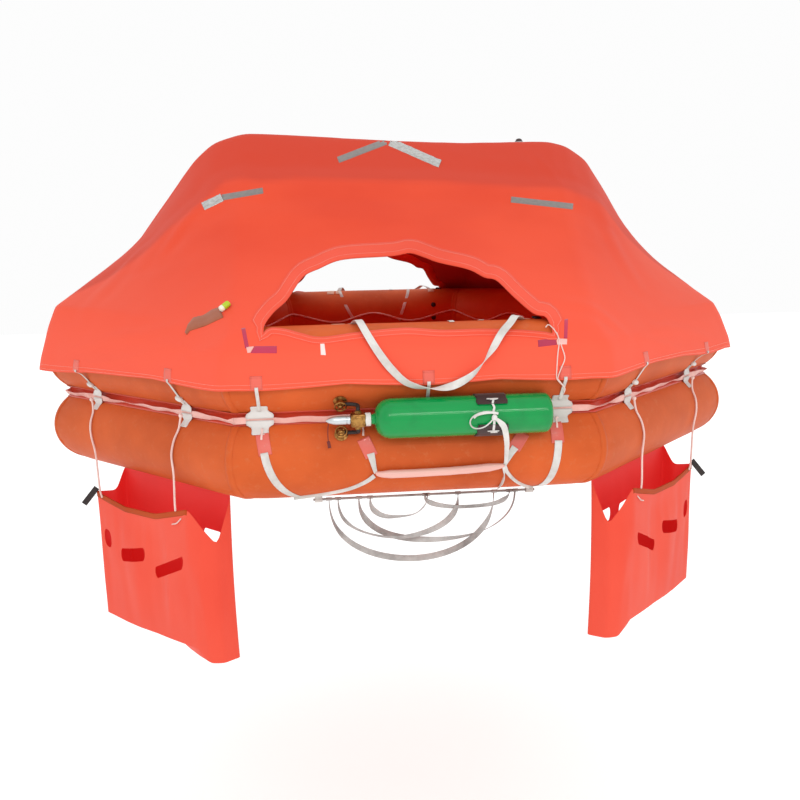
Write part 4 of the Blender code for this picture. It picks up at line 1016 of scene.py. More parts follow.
tie_patches, tie_bands, toggles = [], [], []
for side, along in TIE_PLACES:
    hem = hem_height(side, along)
    heights = hem + 0.004 + np.linspace(0, TIE_PATCH_TALL, 6)
    across = along + np.linspace(-0.5, 0.5, 5) * TIE_PATCH_WIDE
    tie_patches.append(cover_slab("patch", side, across, heights, *TIE_PATCH_FACES))
    tie_patches.append(cover_slab("bar", side, across, heights[-1] + TIE_BAR, *TIE_BAR_FACES))
    foot_out = upper_surface(TIE_FOOT_UP) + TIE_FOOT_CLEAR
    route = [on_cover(side, along, hem + 0.012, 0.0022), on_cover(side, along, hem + 0.002, 0.0030)]
    route += [side_point(side, along, out, z) for out, z in (
        (OVER_TUBE - 0.004, hem - 0.010), (foot_out + 0.016, SEAM_Z + 0.066),
        (foot_out, SEAM_Z + TIE_FOOT_UP), (foot_out - 0.010, SEAM_Z + 0.030))]
    tie_bands.append(band("tie", smooth_path(route, 16), (*AHEAD[side], 0.0), TIE_WIDTH, TIE_THICKNESS))
    if side not in DOOR_SIDES:
        centre = side_point(side, along, foot_out + 0.012, SEAM_Z + 0.055)
        toggles.append(barrel("toggle", TOGGLE_PROFILE, centre, (*AHEAD[side], -0.25)))
finish(join(tie_patches, "hem_tie_patches"), cover_patch)
finish(join(tie_bands, "hem_ties"), webbing)
finish(join(toggles, "hem_tie_toggles"), white_acetal)

# Lifeline
# Webbing runs round the raft in the groove, over a red tape that covers the glued seam. Cross-shaped
# cleats of white cloth, glued to both tubes, hold it; between them it is slack and rolls over.
SEAM_TAPE_RISE, SEAM_TAPE_SINK, GROOVE_FLOOR = 0.0012, -0.001, 0.083
SEAM_TAPE_UP = (-0.023, -0.018, -0.012, -0.006, 0.0, 0.006, 0.012, 0.018, 0.023)
LIFELINE_OUT, LIFELINE_WIDTH, LIFELINE_THICKNESS = 0.1065, 0.024, 0.0018
LIFELINE_STEPS, LIFELINE_HELD, LIFELINE_EASES = 44, 0.035, 0.08
LIFELINE_WAVE, LIFELINE_SAG, LIFELINE_DRAWN_IN, LIFELINE_NARROWED = 0.0022, 0.0035, 0.006, 0.12
CLEAT_PLACES = [(side, along) for side, along in TIE_PLACES if along != MIDDLE_TIE]
CLEAT_ROWS = ((0.050, 0.026), (0.047, 0.030), (0.034, 0.029), (0.028, 0.032), (0.020, 0.046), (0.012, 0.049),
              (0.0035, 0.047))
CLEAT_THICKNESS, CLEAT_LIFT, CLEAT_RUMPLE, NARROW_CLEAT = 0.0022, 0.0025, 0.0012, 0.62
# How far a cleat clears the webbing, how far up it does, and how steeply it falls to the tube from there
CLEAT_OVER, CLEAT_TOP, CLEAT_FALL = 0.0045, 0.012, 0.2


def groove_out(up, lift=0.0):
    """How far out the tubes' skin is, this much above or below the seam, kept clear of the crease."""
    return max(upper_surface(abs(up)), GROOVE_FLOOR) + lift


rows = []
for side in range(SIDES):
    for part in np.linspace(0, 1, 10, endpoint=False):
        rows.append([around_ring(side, part, groove_out(up, lift), SEAM_Z + up) for ups, lift in (
            (SEAM_TAPE_UP, SEAM_TAPE_RISE), (SEAM_TAPE_UP[::-1], SEAM_TAPE_SINK)) for up in ups])
seam_tape = face_out(skin("seam_tape", np.array(rows), around=True, along=True))
seam_tape_cloth = cloth_material("red_seam_tape", "#D6492F", "#C43A26", Roughness=0.35, Coat_Weight=0.25)
finish(seam_tape, seam_tape_cloth)

path, across, widths = [], [], []
for side in range(SIDES):
    out = np.array([*OUTWARD[side], 0.0])
    held = [along for where, along in CLEAT_PLACES if where == side]
    for part in np.linspace(0, 1, LIFELINE_STEPS, endpoint=False):
        along = (part - 0.5) * SIDE_LENGTH[side]
        gap = min(abs(along - one) for one in held)
        loose = min(max((gap - LIFELINE_HELD) / LIFELINE_EASES, 0.0), 1.0)
        rough = noise.noise((side * 3.7 + along * 5.0, 0.0, 4.0))
        wave = LIFELINE_WAVE * loose * math.sin(along * 46 + side) - LIFELINE_SAG * loose
        roll = loose * (0.15 + 0.5 * rough if side in DOOR_SIDES else 0.75 + 0.9 * rough)
        reach = LIFELINE_OUT - LIFELINE_DRAWN_IN * abs(roll)
        path.append(around_ring(side, part, reach, SEAM_Z - 0.003 + wave))
        across.append(np.array([0, 0, math.cos(roll)]) + out * math.sin(roll))
        widths.append(LIFELINE_WIDTH * (1 - LIFELINE_NARROWED * loose * (1 + rough)))
path, across, widths = (values + values[:1] for values in (path, across, widths))
lifeline = band("lifeline_webbing", path, across, widths, LIFELINE_THICKNESS)
finish(lifeline, pink_webbing, replaces=("lifeline",))


def cleat_flap(side, along, sign, wide):
    """Half of a cleat: from its glued end on one tube to its folded edge over the webbing."""
    top, bottom = [], []
    for up, half_width in CLEAT_ROWS:
        over = LIFELINE_OUT + CLEAT_OVER - CLEAT_FALL * max(up - CLEAT_TOP, 0)
        lifted = max(groove_out(up, CLEAT_LIFT), over)
        across = np.linspace(-1, 1, 9) * half_width * wide
        outs = [lifted + CLEAT_RUMPLE * noise.noise((side + a * 40, up * 60, sign)) for a in across]
        for row, sink in ((top, 0.0), (bottom, CLEAT_THICKNESS)):
            row.append([side_point(side, along + a, out - sink, SEAM_Z + sign * up)
                        for a, out in zip(across, outs)])
    return slab("flap", np.array(top), np.array(bottom))


cleats = [cleat_flap(side, along, sign, 1.0 if side in DOOR_SIDES else NARROW_CLEAT)
          for side, along in CLEAT_PLACES for sign in (1, -1)]
white_cloth = cloth_material("white_coated_cloth", "#DCD9D5", "#C9C3BD", Roughness=0.6, Sheen_Weight=0.2)
finish(join(cleats, "lifeline_cleats"), white_cloth)

# Gas bottle
# A steel bottle of carbon dioxide lies in the groove below the door, in glossy green enamel. Its neck is
# drawn in from the shell and painted with it.
BOTTLE_RADIUS, BOTTLE_END_X, BOTTLE_SHOULDER_X = 0.070, 0.455, -0.100
SHOULDER_LENGTH, NECK_RADIUS, NECK_END_X = 0.058, 0.017, -0.190
BASE_ROUND, THROAT_RADIUS = 0.024, NECK_RADIUS + 0.006
BOTTLE_Y = -FRONT_LINE - 0.1782
body_end, neck_end = BOTTLE_END_X - BOTTLE_SHOULDER_X, BOTTLE_END_X - NECK_END_X
shoulder_end = body_end + SHOULDER_LENGTH
profile = [(0.0, 0.030), (0.0008, 0.040)]
profile += [(BASE_ROUND * (1 - math.sin(turn)), BOTTLE_RADIUS - BASE_ROUND * (1 - math.cos(turn)))
            for turn in np.linspace(math.pi / 2, 0, 10)]
profile.append((body_end, BOTTLE_RADIUS))
profile += [(body_end + SHOULDER_LENGTH * math.sin(turn),
             THROAT_RADIUS + (BOTTLE_RADIUS - THROAT_RADIUS) * math.cos(turn))
            for turn in np.linspace(0, math.pi / 2, 16)[1:]]
profile += [(shoulder_end + 0.004, NECK_RADIUS + 0.0015), (shoulder_end + 0.009, NECK_RADIUS),
            (neck_end - 0.002, NECK_RADIUS), (neck_end, NECK_RADIUS - 0.002)]
bottle = lathe("gas_bottle_shell", profile, (BOTTLE_END_X, BOTTLE_Y, SEAM_Z), (-1, 0, 0), 96)

# Glossy enamel, sprayed on steel: an even green with a faint orange peel and a few dull rubs
bottle_enamel, tree, shader = start_material("glossy_enamel", Roughness=0.14, Coat_Weight=0.12,
                                             Coat_Roughness=0.05, Specular_IOR_Level=0.3)
place = add(tree, "ShaderNodeTexCoord").outputs["Object"]
peel = add(tree, "ShaderNodeTexNoise", {"Vector": place, "Scale": 140.0, "Detail": 1.0})
colour, rubs = patchy(tree, (7.0, 5.0, 0.7), (0.45, 0.7), "#009044", "#06803E")
gloss = add(tree, "ShaderNodeMapRange", {"Value": rubs, "From Min": 0.5, "From Max": 0.75, "To Min": 0.14,
                                         "To Max": 0.30})
tree.links.new(gloss.outputs[0], shader.inputs["Roughness"])
surface(tree, shader, colour, peel.outputs[0], 0.0002, 0.15)
finish(bottle, bottle_enamel, replaces=("gas_bottle",))

# Valve
# A brass block screws into the neck behind a white collar. The operating head on its end is pulled by a
# cord, and hoses lead from the block to an inlet with a hand wheel on each tube.
VALVE_SIZE, VALVE_X = (0.052, 0.050, 0.046), NECK_END_X - 0.0263
GLAND_PROFILE = [(0.0, 0.013), (0.010, 0.013), (0.0105, 0.011), (0.013, 0.011)]
FACE_PROFILE = [(0.0, 0.017), (0.003, 0.017), (0.0045, 0.015), (0.005, 0.012), (0.005, 0.001)]
COLLAR_PROFILE = [(0.0, 0.0195), (0.001, 0.0225), (0.004, 0.0235), (0.018, 0.0235), (0.021, 0.0225),
                  (0.022, 0.0185)]
HEAD_PROFILE = [(0.0, 0.0093), (0.001, 0.0155), (0.010, 0.0155), (0.011, 0.01395), (0.014, 0.01395),
                (0.015, 0.0155), (0.050, 0.0155), (0.062, 0.01333), (0.073, 0.00961), (0.081, 0.00558),
                (0.0845, 0.00217)]
INLET_X, INLET_DEGREES, INLET_HEIGHT = -0.275, 34, 0.034
INLET_PROFILE = [(0.0, 0.024), (0.003, 0.024), (0.0045, 0.019), (0.006, 0.0145), (0.020, 0.0135),
                 (0.021, 0.0110), (0.025, 0.0110), (0.0255, 0.0075), (0.031, 0.0075), (0.033, 0.005),
                 (INLET_HEIGHT, 0.001)]
WHEEL_UP, WHEEL_RADIUS, WHEEL_WIRE = 0.0285, 0.0195, 0.0031
SPOKE_REACH, SPOKE_RADIUS = (0.006, 0.012, 0.0185), 0.0021
HOSE_RADIUS = 0.0069
PULL_CORD = [(-0.318, -1.478, 0.262), (-0.3205, -1.474, 0.248), (-0.3215, -1.471, 0.225),
             (-0.321, -1.470, 0.200)]

# Cast brass: dull gold, with dark tarnish in patches
brass, tree, shader = start_material("cast_brass", Roughness=0.38, Metallic=1.0)
colour, tarnish = patchy(tree, (60.0, 5.0, 0.7), (0.4, 0.65), "#B98A4C", "#6E4524")
surface(tree, shader, colour, tarnish, 0.0003, 0.3)
# Nickel plate on a die casting: bright, with faint smears
plated = smooth_material("nickel_plate", (45.0, 3.0), "#D8DEE0", "#B9C0C2", Roughness=0.28, Metallic=0.75)
# Oil-proof rubber, extruded: black and matt
dark_rubber = smooth_material("black_rubber", (35.0, 4.0), "#1F1A19", "#3A302D", Roughness=0.6,
                              Specular_IOR_Level=0.35)

mesh = bmesh.new()
bmesh.ops.create_cube(mesh, size=1.0)
bmesh.ops.scale(mesh, vec=VALVE_SIZE, verts=mesh.verts)
bmesh.ops.translate(mesh, vec=(VALVE_X, BOTTLE_Y, SEAM_Z), verts=mesh.verts)
bmesh.ops.bevel(mesh, geom=mesh.edges[:], offset=0.006, segments=3, affect="EDGES", profile=0.5)
data = bpy.data.meshes.new("block")
mesh.to_mesh(data)
mesh.free()
data.shade_smooth()
pieces = [lathe("gland", GLAND_PROFILE, (VALVE_X, BOTTLE_Y, SEAM_Z + sign * 0.0195), (0, 0, sign), 6)
          for sign in (1, -1)]
face_y = BOTTLE_Y - VALVE_SIZE[1] / 2 + 0.0006
pieces.append(lathe("face", FACE_PROFILE, (VALVE_X, face_y, SEAM_Z), (0, -1, 0), 30))
finish(join([placed("block", data), *pieces], "valve_block"), brass, replaces=("valve_body",))
collar = lathe("neck_collar", COLLAR_PROFILE, (NECK_END_X - 0.004, BOTTLE_Y, SEAM_Z), (1, 0, 0), 40)
finish(collar, white_acetal)
head = lathe("operating_head_case", HEAD_PROFILE, (NECK_END_X - VALVE_SIZE[0] - 0.0006, BOTTLE_Y, SEAM_Z),
             (-1, 0, 0), 36)
finish(head, plated, replaces=("operating_head",))


def front_out(degrees):
    """The direction away from the front tube's centre line, degrees up from straight forward."""
    turn = math.radians(degrees)
    return np.array([0.0, -math.cos(turn), math.sin(turn)])


def on_front(x, degrees, lift, centre_z=LOWER_Z):
    """A place over the skin of a front tube."""
    return np.array([x, -FRONT_LINE, centre_z]) + front_out(degrees) * (TUBE_RADIUS + lift)


for label, sign, centre_z in (("upper", -1, UPPER_Z), ("lower", 1, LOWER_Z)):
    axis = front_out(sign * INLET_DEGREES)
    base = on_front(INLET_X, sign * INLET_DEGREES, 0.0004, centre_z)
    wheel_centre = base + axis * WHEEL_UP
    pieces = [lathe("boss", INLET_PROFILE, base, axis, 32),
              hoop("wheel", wheel_centre, axis, WHEEL_RADIUS, WHEEL_WIRE, 36, 8)]
    for turn in math.pi / 4 + np.arange(4) * math.pi / 2:
        out = np.array([math.cos(turn), 0, 0]) + np.cross(axis, (1, 0, 0)) * math.sin(turn)
        spoke = [wheel_centre + out * reach for reach in SPOKE_REACH]
        pieces.append(rod("spoke", spoke, SPOKE_RADIUS, 8))
    finish(join(pieces, f"inlet_{label}"), brass, replaces=(f"inlet_valve_{label}",))
    _, hose_y, hose_z = base + axis * INLET_HEIGHT / 2
    start = np.array([VALVE_X, BOTTLE_Y, SEAM_Z - sign * (VALVE_SIZE[2] / 2 + 0.0095)])
    lead = np.array([0, 0, -sign * 0.006])
    bend, end = np.array([VALVE_X, hose_y, hose_z]), np.array([INLET_X + 0.0115, hose_y, hose_z])
    route = [start, start + lead, start * 0.4 + bend * 0.6 + lead * 0.6, bend * 0.55 + end * 0.45, end]
    hose = rod(f"hose_{label}", smooth_path(route, 26), HOSE_RADIUS, 16)
    finish(hose, dark_rubber, replaces=(f"gas_hose_{label}",))

pull = rod("pull_cord", smooth_path(PULL_CORD, 14), 0.0016, 8)
path = [Vector(PULL_CORD[-1]) + Vector((0.001 * k, 0, -0.006 * k)) for k in range(5)]
tag = band("tag", path, (1, 0, 0), 0.011, 0.003)
maroon_cord = cloth_material("maroon_cord", "#5E1C1A", "#7A2A22", Roughness=0.7)
finish(join([pull, tag], "valve_pull_cord"), maroon_cord)

# Bottle cradle
# Two flaps of dark brown cloth, glued in the groove, hold the bottle. They are laced together over it,
# and the lacing ends in a bow and a long tail.
CRADLE_X, CRADLE_WIDTH, CRADLE_THICKNESS = 0.240, 0.106, 0.0032
CRADLE_GAP, CRADLE_RUMPLE, CRADLE_WAIST, CRADLE_CURL, CURL_STEP = 0.0008, 0.0014, 0.03, 0.004, 24
CRADLE_ARCS = {"upper": (118, 40), "lower": (-118, -15)}
KNOT_X, LACING_LIFT, LACING_RADIUS = CRADLE_X + 0.002, 0.0066, 0.0024
KNOT_PROFILE = [(-0.010, 0.003), (-0.007, 0.008), (0.0, 0.0095)]
BOW_LOOP = [(0.243, 12), (0.225, 18), (0.196, 17), (0.170, 9), (0.158, -4), (0.166, -18), (0.186, -23),
            (0.210, -18), (0.232, -4), (0.243, 10)]


def round_bottle(x, degrees, lift):
    """A place round the bottle, degrees up from its outermost line."""
    return np.array([x, BOTTLE_Y, SEAM_Z]) + front_out(degrees) * (BOTTLE_RADIUS + lift)


cradle_cloth = cloth_material("brown_coated_cloth", "#3A1714", "#2A100E", Roughness=0.5, Sheen_Weight=0.15)
for label, (start, end) in CRADLE_ARCS.items():
    top, bottom = [], []
    for step, degrees in enumerate(np.linspace(start, end, 30)):
        curl = CRADLE_CURL * max(0.0, (step - CURL_STEP) / 5) ** 2
        wide = CRADLE_WIDTH * (1 - CRADLE_WAIST * math.sin(step * 0.7))
        across = CRADLE_X + np.linspace(-0.5, 0.5, 12) * wide
        rumple = [abs(noise.noise((x * 30, degrees * 0.06, 2.0))) for x in across]
        lifts = [CRADLE_GAP + curl + CRADLE_RUMPLE * r for r in rumple]
        for row, rise in ((top, CRADLE_THICKNESS), (bottom, 0.0)):
            row.append([round_bottle(x, degrees, lift + rise) for x, lift in zip(across, lifts)])
    finish(slab(f"cradle_{label}", np.array(top), np.array(bottom)), cradle_cloth,
           replaces=(f"cradle_flap_{label}",))
up_lace = [round_bottle(KNOT_X + 0.002 * math.sin(k), degrees, LACING_LIFT)
           for k, degrees in enumerate(np.linspace(56, 6, 16))]
down_lace = [round_bottle(KNOT_X, degrees, LACING_LIFT) for degrees in np.linspace(4, -34, 12)]
lacing = [band("up", up_lace, (1, 0, 0), 0.0075, 0.0024), band("down", down_lace, (1, 0, 0), 0.0085, 0.0024)]
for degrees in (56, -36):
    bar = [round_bottle(x, degrees, 0.0068) for x in KNOT_X + np.linspace(-0.020, 0.020, 8)]
    tuft = [round_bottle(x, degrees - 3, 0.0088) for x in KNOT_X + np.linspace(-0.010, 0.014, 6)]
    lacing += [rod("bar", bar, LACING_RADIUS, 8), rod("tuft", tuft, 0.0026, 8)]
lacing.append(barrel("knot", KNOT_PROFILE, round_bottle(KNOT_X, 4, 0.0085), (0.4, 0, 1)))
bow = smooth_path([round_bottle(x, degrees, 0.011) for x, degrees in BOW_LOOP], 44)
bow_end = smooth_path([round_bottle(x + 0.012, degrees * 0.5 + 7, 0.013) for x, degrees in BOW_LOOP[:5]], 20)
lacing += [rod("bow", bow, LACING_RADIUS, 8), band("bow_end", bow_end, (0, 0.3, 1), 0.008, 0.0018)]
finish(join(lacing, "cradle_lacing_cord"), webbing, replaces=("cradle_lacing",))

# Boarding straps
# A length of webbing hangs over each sill as a handhold. It lies flat on the tube, twists twice where it
# hangs free, and runs on to a welded patch on the inside.
STRAP_ROUTE = [(-0.215, 0.000, 0.1640), (-0.207, 0.030, 0.1760), (-0.199, 0.066, 0.1800),
               (-0.188, 0.100, 0.1620), (-0.170, 0.1395, 0.1290), (-0.140, 0.1720, 0.0790),
               (-0.100, 0.1900, 0.0240), (-0.045, 0.1930, -0.0275), (0.030, 0.1950, -0.0480),
               (0.100, 0.1960, -0.0440), (0.160, 0.1960, -0.0180), (0.205, 0.1950, 0.0200),
               (0.250, 0.1790, 0.0757), (0.290, 0.1460, 0.1275), (0.332, 0.103, 0.1620),
               (0.356, 0.068, 0.1800), (0.378, 0.030, 0.1760), (0.395, 0.000, 0.1640)]
STRAP_ROLL = [(-0.14, 0), (-0.02, 40), (0.045, 92), (0.10, 150), (0.18, 215), (0.225, 272), (0.26, 335),
              (0.30, 360)]
WEB_WIDTH, WEB_THICKNESS = 0.027, 0.0022
INNER_STRAPS = [((-0.212, 84), (-0.204, 60), (-0.170, 20), (-0.132, -5)),
                ((0.252, 84), (0.240, 56), (0.205, 18), (0.173, -12)),
                ((0.137, 98), (0.137, 88), (0.137, 78))]
END_PATCHES = [(-0.275, 0.046), (-0.222, 0.036), (0.402, 0.044)]
BUCKLE_X, BUCKLE_DEGREES = 0.445, 86


def strap_over_sill(facing):
    """The webbing over one door's sill, rolled about its own path."""
    route = smooth_path([(x, -facing * (FRONT_LINE + out), UPPER_Z + up) for x, out, up in STRAP_ROUTE], 110)
    across = []
    for point, along in zip(route, np.gradient(route, axis=0)):
        away = Vector((0.0, point[1] + facing * FRONT_LINE, max(point[2] - UPPER_Z, 0.0)))
        roll = math.radians(np.interp(point[0], *zip(*STRAP_ROLL)))
        across.append(Matrix.Rotation(roll, 3, Vector(along)) @ Vector(along).cross(away).normalized())
    return band("strap", route, across, WEB_WIDTH, WEB_THICKNESS)


def on_inside(x, degrees, lift, facing):
    """A place over the upper tube's skin on the raft's inside, degrees up from its innermost line."""
    turn = math.radians(degrees)
    reach = TUBE_RADIUS + lift
    return np.array([x, -facing * (FRONT_LINE - reach * math.cos(turn)), UPPER_Z + reach * math.sin(turn)])


pale_film = cloth_material("pale_welded_film", "#D8A084", "#CE8D6E", Roughness=0.4)
for label, facing in (("front", 1), ("rear", -1)):
    pieces = [strap_over_sill(facing)]
    for route in INNER_STRAPS:
        path = smooth_path([on_inside(x, degrees, 0.0016, facing) for x, degrees in route], 24)
        pieces.append(band("inner", path, (1, 0, 0), 0.019, 0.0018))
    finish(join(pieces, f"boarding_webbing_{label}"), webbing,
           replaces=(f"boarding_strap_{label}",))
    patches = []
    for x, wide in END_PATCHES:
        path = [on_inside(x + 0.0006 * k, d, 0.0008, facing) for k, d in enumerate(np.linspace(62, 92, 12))]
        patches.append(band("end", path, (1, 0, 0), wide, 0.0012))
    finish(join(patches, f"boarding_patches_{label}"), pale_film)
    path = [on_inside(BUCKLE_X + 0.004 * k, BUCKLE_DEGREES - k, 0.004, facing) for k in range(8)]
    finish(band(f"boarding_fitting_{label}", path, (0, 1, 0.2), 0.020, 0.006), dark_rubber)

# Step
# Below the door hangs a stiffened step: pale pink coated webbing round a soft core, between two patches
# welded on the lower tube, each with a tape that twists into the step's end.
STEP_ROUTE = [(-0.160, -12.5), (-0.148, -15.0), (-0.110, -15.8), (0.000, -15.8), (0.100, -15.2),
              (0.200, -13.8), (0.268, -12.2), (0.295, -11.0)]
STEP_RADIUS, STEP_LIFT, STEP_POINTS, STEP_DENT = 0.0142, 0.0180, 60, 0.0007
STEP_PATCHES = {"left": ((-0.200, 28), (-0.172, 5)), "right": ((0.372, 27), (0.332, 7))}
STEP_TAPES = [((-0.176, 9, 0.0030), (-0.170, 0, 0.0035), (-0.165, -8, 0.010), (-0.160, -14, 0.018)),
              ((0.337, 9, 0.0030), (0.322, 2, 0.0035), (0.308, -5, 0.010), (0.296, -11, 0.018))]
PATCH_WIDTH, TAPE_THICKNESS = 0.046, 0.0020


def tube_patch(name, start, end):
    """A welded patch on the lower front tube, from one (x, degrees) to another."""
    path = [on_front(*(np.array(start) + (np.array(end) - start) * t), 0.0012) for t in np.linspace(0, 1, 14)]
    across = np.cross(path[-1] - path[0], front_out((start[1] + end[1]) / 2))
    return band(name, path, across, PATCH_WIDTH, 0.0018)


def front_path(route, count):
    """A smooth path over the lower front tube, through (x, degrees, lift) places."""
    return smooth_path([on_front(*place) for place in route], count)


path = front_path([(x, degrees, STEP_LIFT) for x, degrees in STEP_ROUTE], STEP_POINTS)
ends = np.arange(STEP_POINTS)
ends = np.clip(np.minimum(ends, ends[::-1]) / 7, 0, 1) ** 0.5
step = rod("step_bar", path, STEP_RADIUS * (0.30 + 0.70 * ends), 24)
for vert in step.data.vertices:
    vert.co.z += STEP_DENT * noise.noise(vert.co * 35)
# Pink polyurethane-coated webbing, drawn tight over a soft core: smooth, a little glossy
step_webbing = cloth_material("pink_coated_webbing", "#E9B5AA", "#DDA296", Roughness=0.42, Coat_Weight=0.15)
finish(step, step_webbing, replaces=("boarding_step",))
for label, places in STEP_PATCHES.items():
    finish(tube_patch(f"step_anchor_{label}", *places), welded_patch,
           replaces=(f"step_patch_{label}",))
tapes = [band("tape", front_path(route, 24), (1, 0, 0.15), np.linspace(WEB_WIDTH, 0.012, 24), TAPE_THICKNESS)
         for route in STEP_TAPES]

# Ladder straps
# Two webbings come down the lower tube from welded patches, and pass under it to the ladder's anchors.
# Narrow leads join them to the ends of the step, and short cords tie their patches to the cleats.
LADDER_STRAPS = {"left": (-0.545, -0.365), "right": (0.495, 0.435)}
STRAP_DEGREES, STRAP_STEPS, UNDER_PATCH = (15, -88), 46, 0.12
LEADS = [[(-0.452, -64, 0.004), (-0.400, -58, 0.004), (-0.320, -50, 0.004), (-0.250, -41, 0.004),
          (-0.195, -29, 0.005), (-0.165, -18, 0.014)],
         [(0.296, -12, 0.018), (0.312, -24, 0.008), (0.345, -40, 0.004), (0.385, -55, 0.004),
          (0.415, -66, 0.004)],
         [(0.293, -12, 0.020), (0.300, -26, 0.012), (0.298, -42, 0.008), (0.292, -60, 0.006)]]
LEAD_STEPS, LEAD_WIDTH, LEAD_NARROWED, LEAD_ROLL, LEAD_TWIST = 34, 0.015, 0.003, 15, 25
TAIL = [(0.276, -1.560, 0.240), (0.287, -1.545, 0.190), (0.293, -1.515, 0.140), (0.296, -1.492, 0.100)]
TAIL_STEPS = 50
TIE_CORDS = [((-0.552, 0.046), -0.548), ((0.508, 0.046), 0.497), ((-0.182, 0.030), -0.196)]
DOOR_CORD_PIXELS = [[(545.4, 328), (548.6, 325.4), (555, 331.8), (558.8, 340.8), (557.5, 354.8),
                     (556.3, 375.2), (557.5, 388.0)],
                    [(556.5, 333.0), (562, 348.4), (564.5, 358.6), (560.7, 368.8), (557.5, 377.8),
                     (558.4, 388.0)]]


def strap_x(label, part):
    """Where across the raft a ladder strap runs, from its top (0) to its anchor (1)."""
    top, bottom = LADDER_STRAPS[label]
    return top + (bottom - top) * part ** 2


for label, (top_x, _) in LADDER_STRAPS.items():
    first, last = STRAP_DEGREES
    path = [on_front(strap_x(label, UNDER_PATCH + (1 - UNDER_PATCH) * t), first + (last - first) * t,
                     0.0034 - 0.0022 * min(t * 8, 1)) for t in np.linspace(0, 1, STRAP_STEPS)]
    strap = band(f"ladder_webbing_{label}", path, (1, 0, 0), WEB_WIDTH, WEB_THICKNESS)
    finish(strap, webbing, replaces=(f"ladder_strap_{label}",))
    patch = tube_patch(f"ladder_patch_{label}", (top_x - 0.004, 39), (strap_x(label, 0.2), 12))
    finish(patch, welded_patch)
for number, route in enumerate(LEADS):
    roll = np.radians(LEAD_ROLL + LEAD_TWIST * np.sin(np.linspace(0, 5, LEAD_STEPS) + number))
    across = np.stack([np.sin(roll), 0 * roll, np.cos(roll)], axis=1)
    width = LEAD_WIDTH - LEAD_NARROWED * np.sin(np.linspace(0, math.pi, LEAD_STEPS))
    tapes.append(band("lead", front_path(route, LEAD_STEPS), across, width, TAPE_THICKNESS))
tail = smooth_path([round_bottle(KNOT_X + 0.004, 2, 0.013), round_bottle(0.262, -8, 0.016), *TAIL],
                   TAIL_STEPS)
at = np.linspace(0, 1, TAIL_STEPS)
roll = np.radians(np.interp(at, (0, 0.25, 0.6, 1), (20, 5, 35, 10)))
tapes.append(band("tail", tail, np.stack([np.cos(roll), -np.sin(roll), 0 * roll], axis=1),
                  np.interp(at, (0, 0.15, 0.55, 1), (0.010, 0.021, 0.018, 0.012)), 0.0018))
finish(join(tapes, "step_tapes"), webbing)

cords = []
for (x, down), patch_x in TIE_CORDS:
    top = np.array([x, -FRONT_LINE - groove_out(down - 0.012, 0.0062), SEAM_Z - down + 0.004])
    places = (patch_x, 46, 0.004), (patch_x - 0.002, 36, 0.0042), (patch_x - 0.003, 31, 0.0032)
    path = smooth_path([top, *(on_front(*place) for place in places)], 18)
    cords.append(band("tie", path, (1, 0, 0), 0.007, 0.0018))
for pixels in DOOR_CORD_PIXELS:
    path = [on_cloth(x, y, 0.0032) for x, y in pixels]
    path += [side_point(0, 0.510, 0.172, SEAM_Z + 0.082), side_point(0, 0.512, 0.147, SEAM_Z + 0.056)]
    cords.append(rod("door_cord", smooth_path(path, 60), 0.0021, 8))
# Braided polyester cord, stained pink by the cover
pink_cord = webbing_material("braided_polyester_cord", "#EED3CB", "#E0B9AF", 4.0)
finish(join(cords, "door_cords"), pink_cord)

# Ladder
# A rope ladder of webbing hangs below the front tube in loops, one inside the other, all sewn round one
# header cord, which turns in two loops of webbing under the tube.
ANCHOR_X = {"left": -0.365, "right": 0.435}
ANCHOR_WIDTH, ANCHOR_THICKNESS, ANCHOR_REACH = 0.028, 0.0018, 0.0098
LADDER_Y, HEADER_Z, HEADER_RADIUS = -1.280, -0.066, 0.0045
HEADER_HALF, HEADER_MID_X = 0.420, 0.035
SLEEVE_PROFILE = [(-0.011, 0.0050), (-0.0105, 0.0062)]
# Each loop's left and right end, its depth, and how its webbing is rolled: degrees, swing and phase
LADDER_LOOPS = [(-0.173, 0.042, 0.085, 50, 25, 1.0), (0.035, 0.357, 0.055, 68, 18, 2.2),
                (-0.293, 0.160, 0.160, 74, 40, 3.1), (-0.215, 0.381, 0.190, 62, 50, 0.4),
                (-0.327, 0.300, 0.252, 80, 38, 5.0)]
LOOP_STEPS, LOOP_STAGGER, LOOP_FULLNESS, LOOP_WIDTH = 70, 0.006, 0.8, WEB_WIDTH * 0.86
LOOP_SWAY, LOOP_SHIFT, LOOP_WOBBLE = 0.016, 0.010, 0.006
for label, x in ANCHOR_X.items():
    round_header = [(ANCHOR_REACH * math.cos(turn), HEADER_Z + ANCHOR_REACH * math.sin(turn))
                    for turn in np.radians(np.linspace(40, -220, 22))]
    route = [(0.009, -0.0400), (0.0105, -0.050), *round_header, (-0.0105, -0.050), (-0.009, -0.0402)]
    path = [(x, LADDER_Y + out, z) for out, z in route]
    anchor = band(f"ladder_loop_{label}", path, (1, 0, 0), ANCHOR_WIDTH, ANCHOR_THICKNESS)
    finish(anchor, webbing, replaces=(f"ladder_anchor_{label}",))

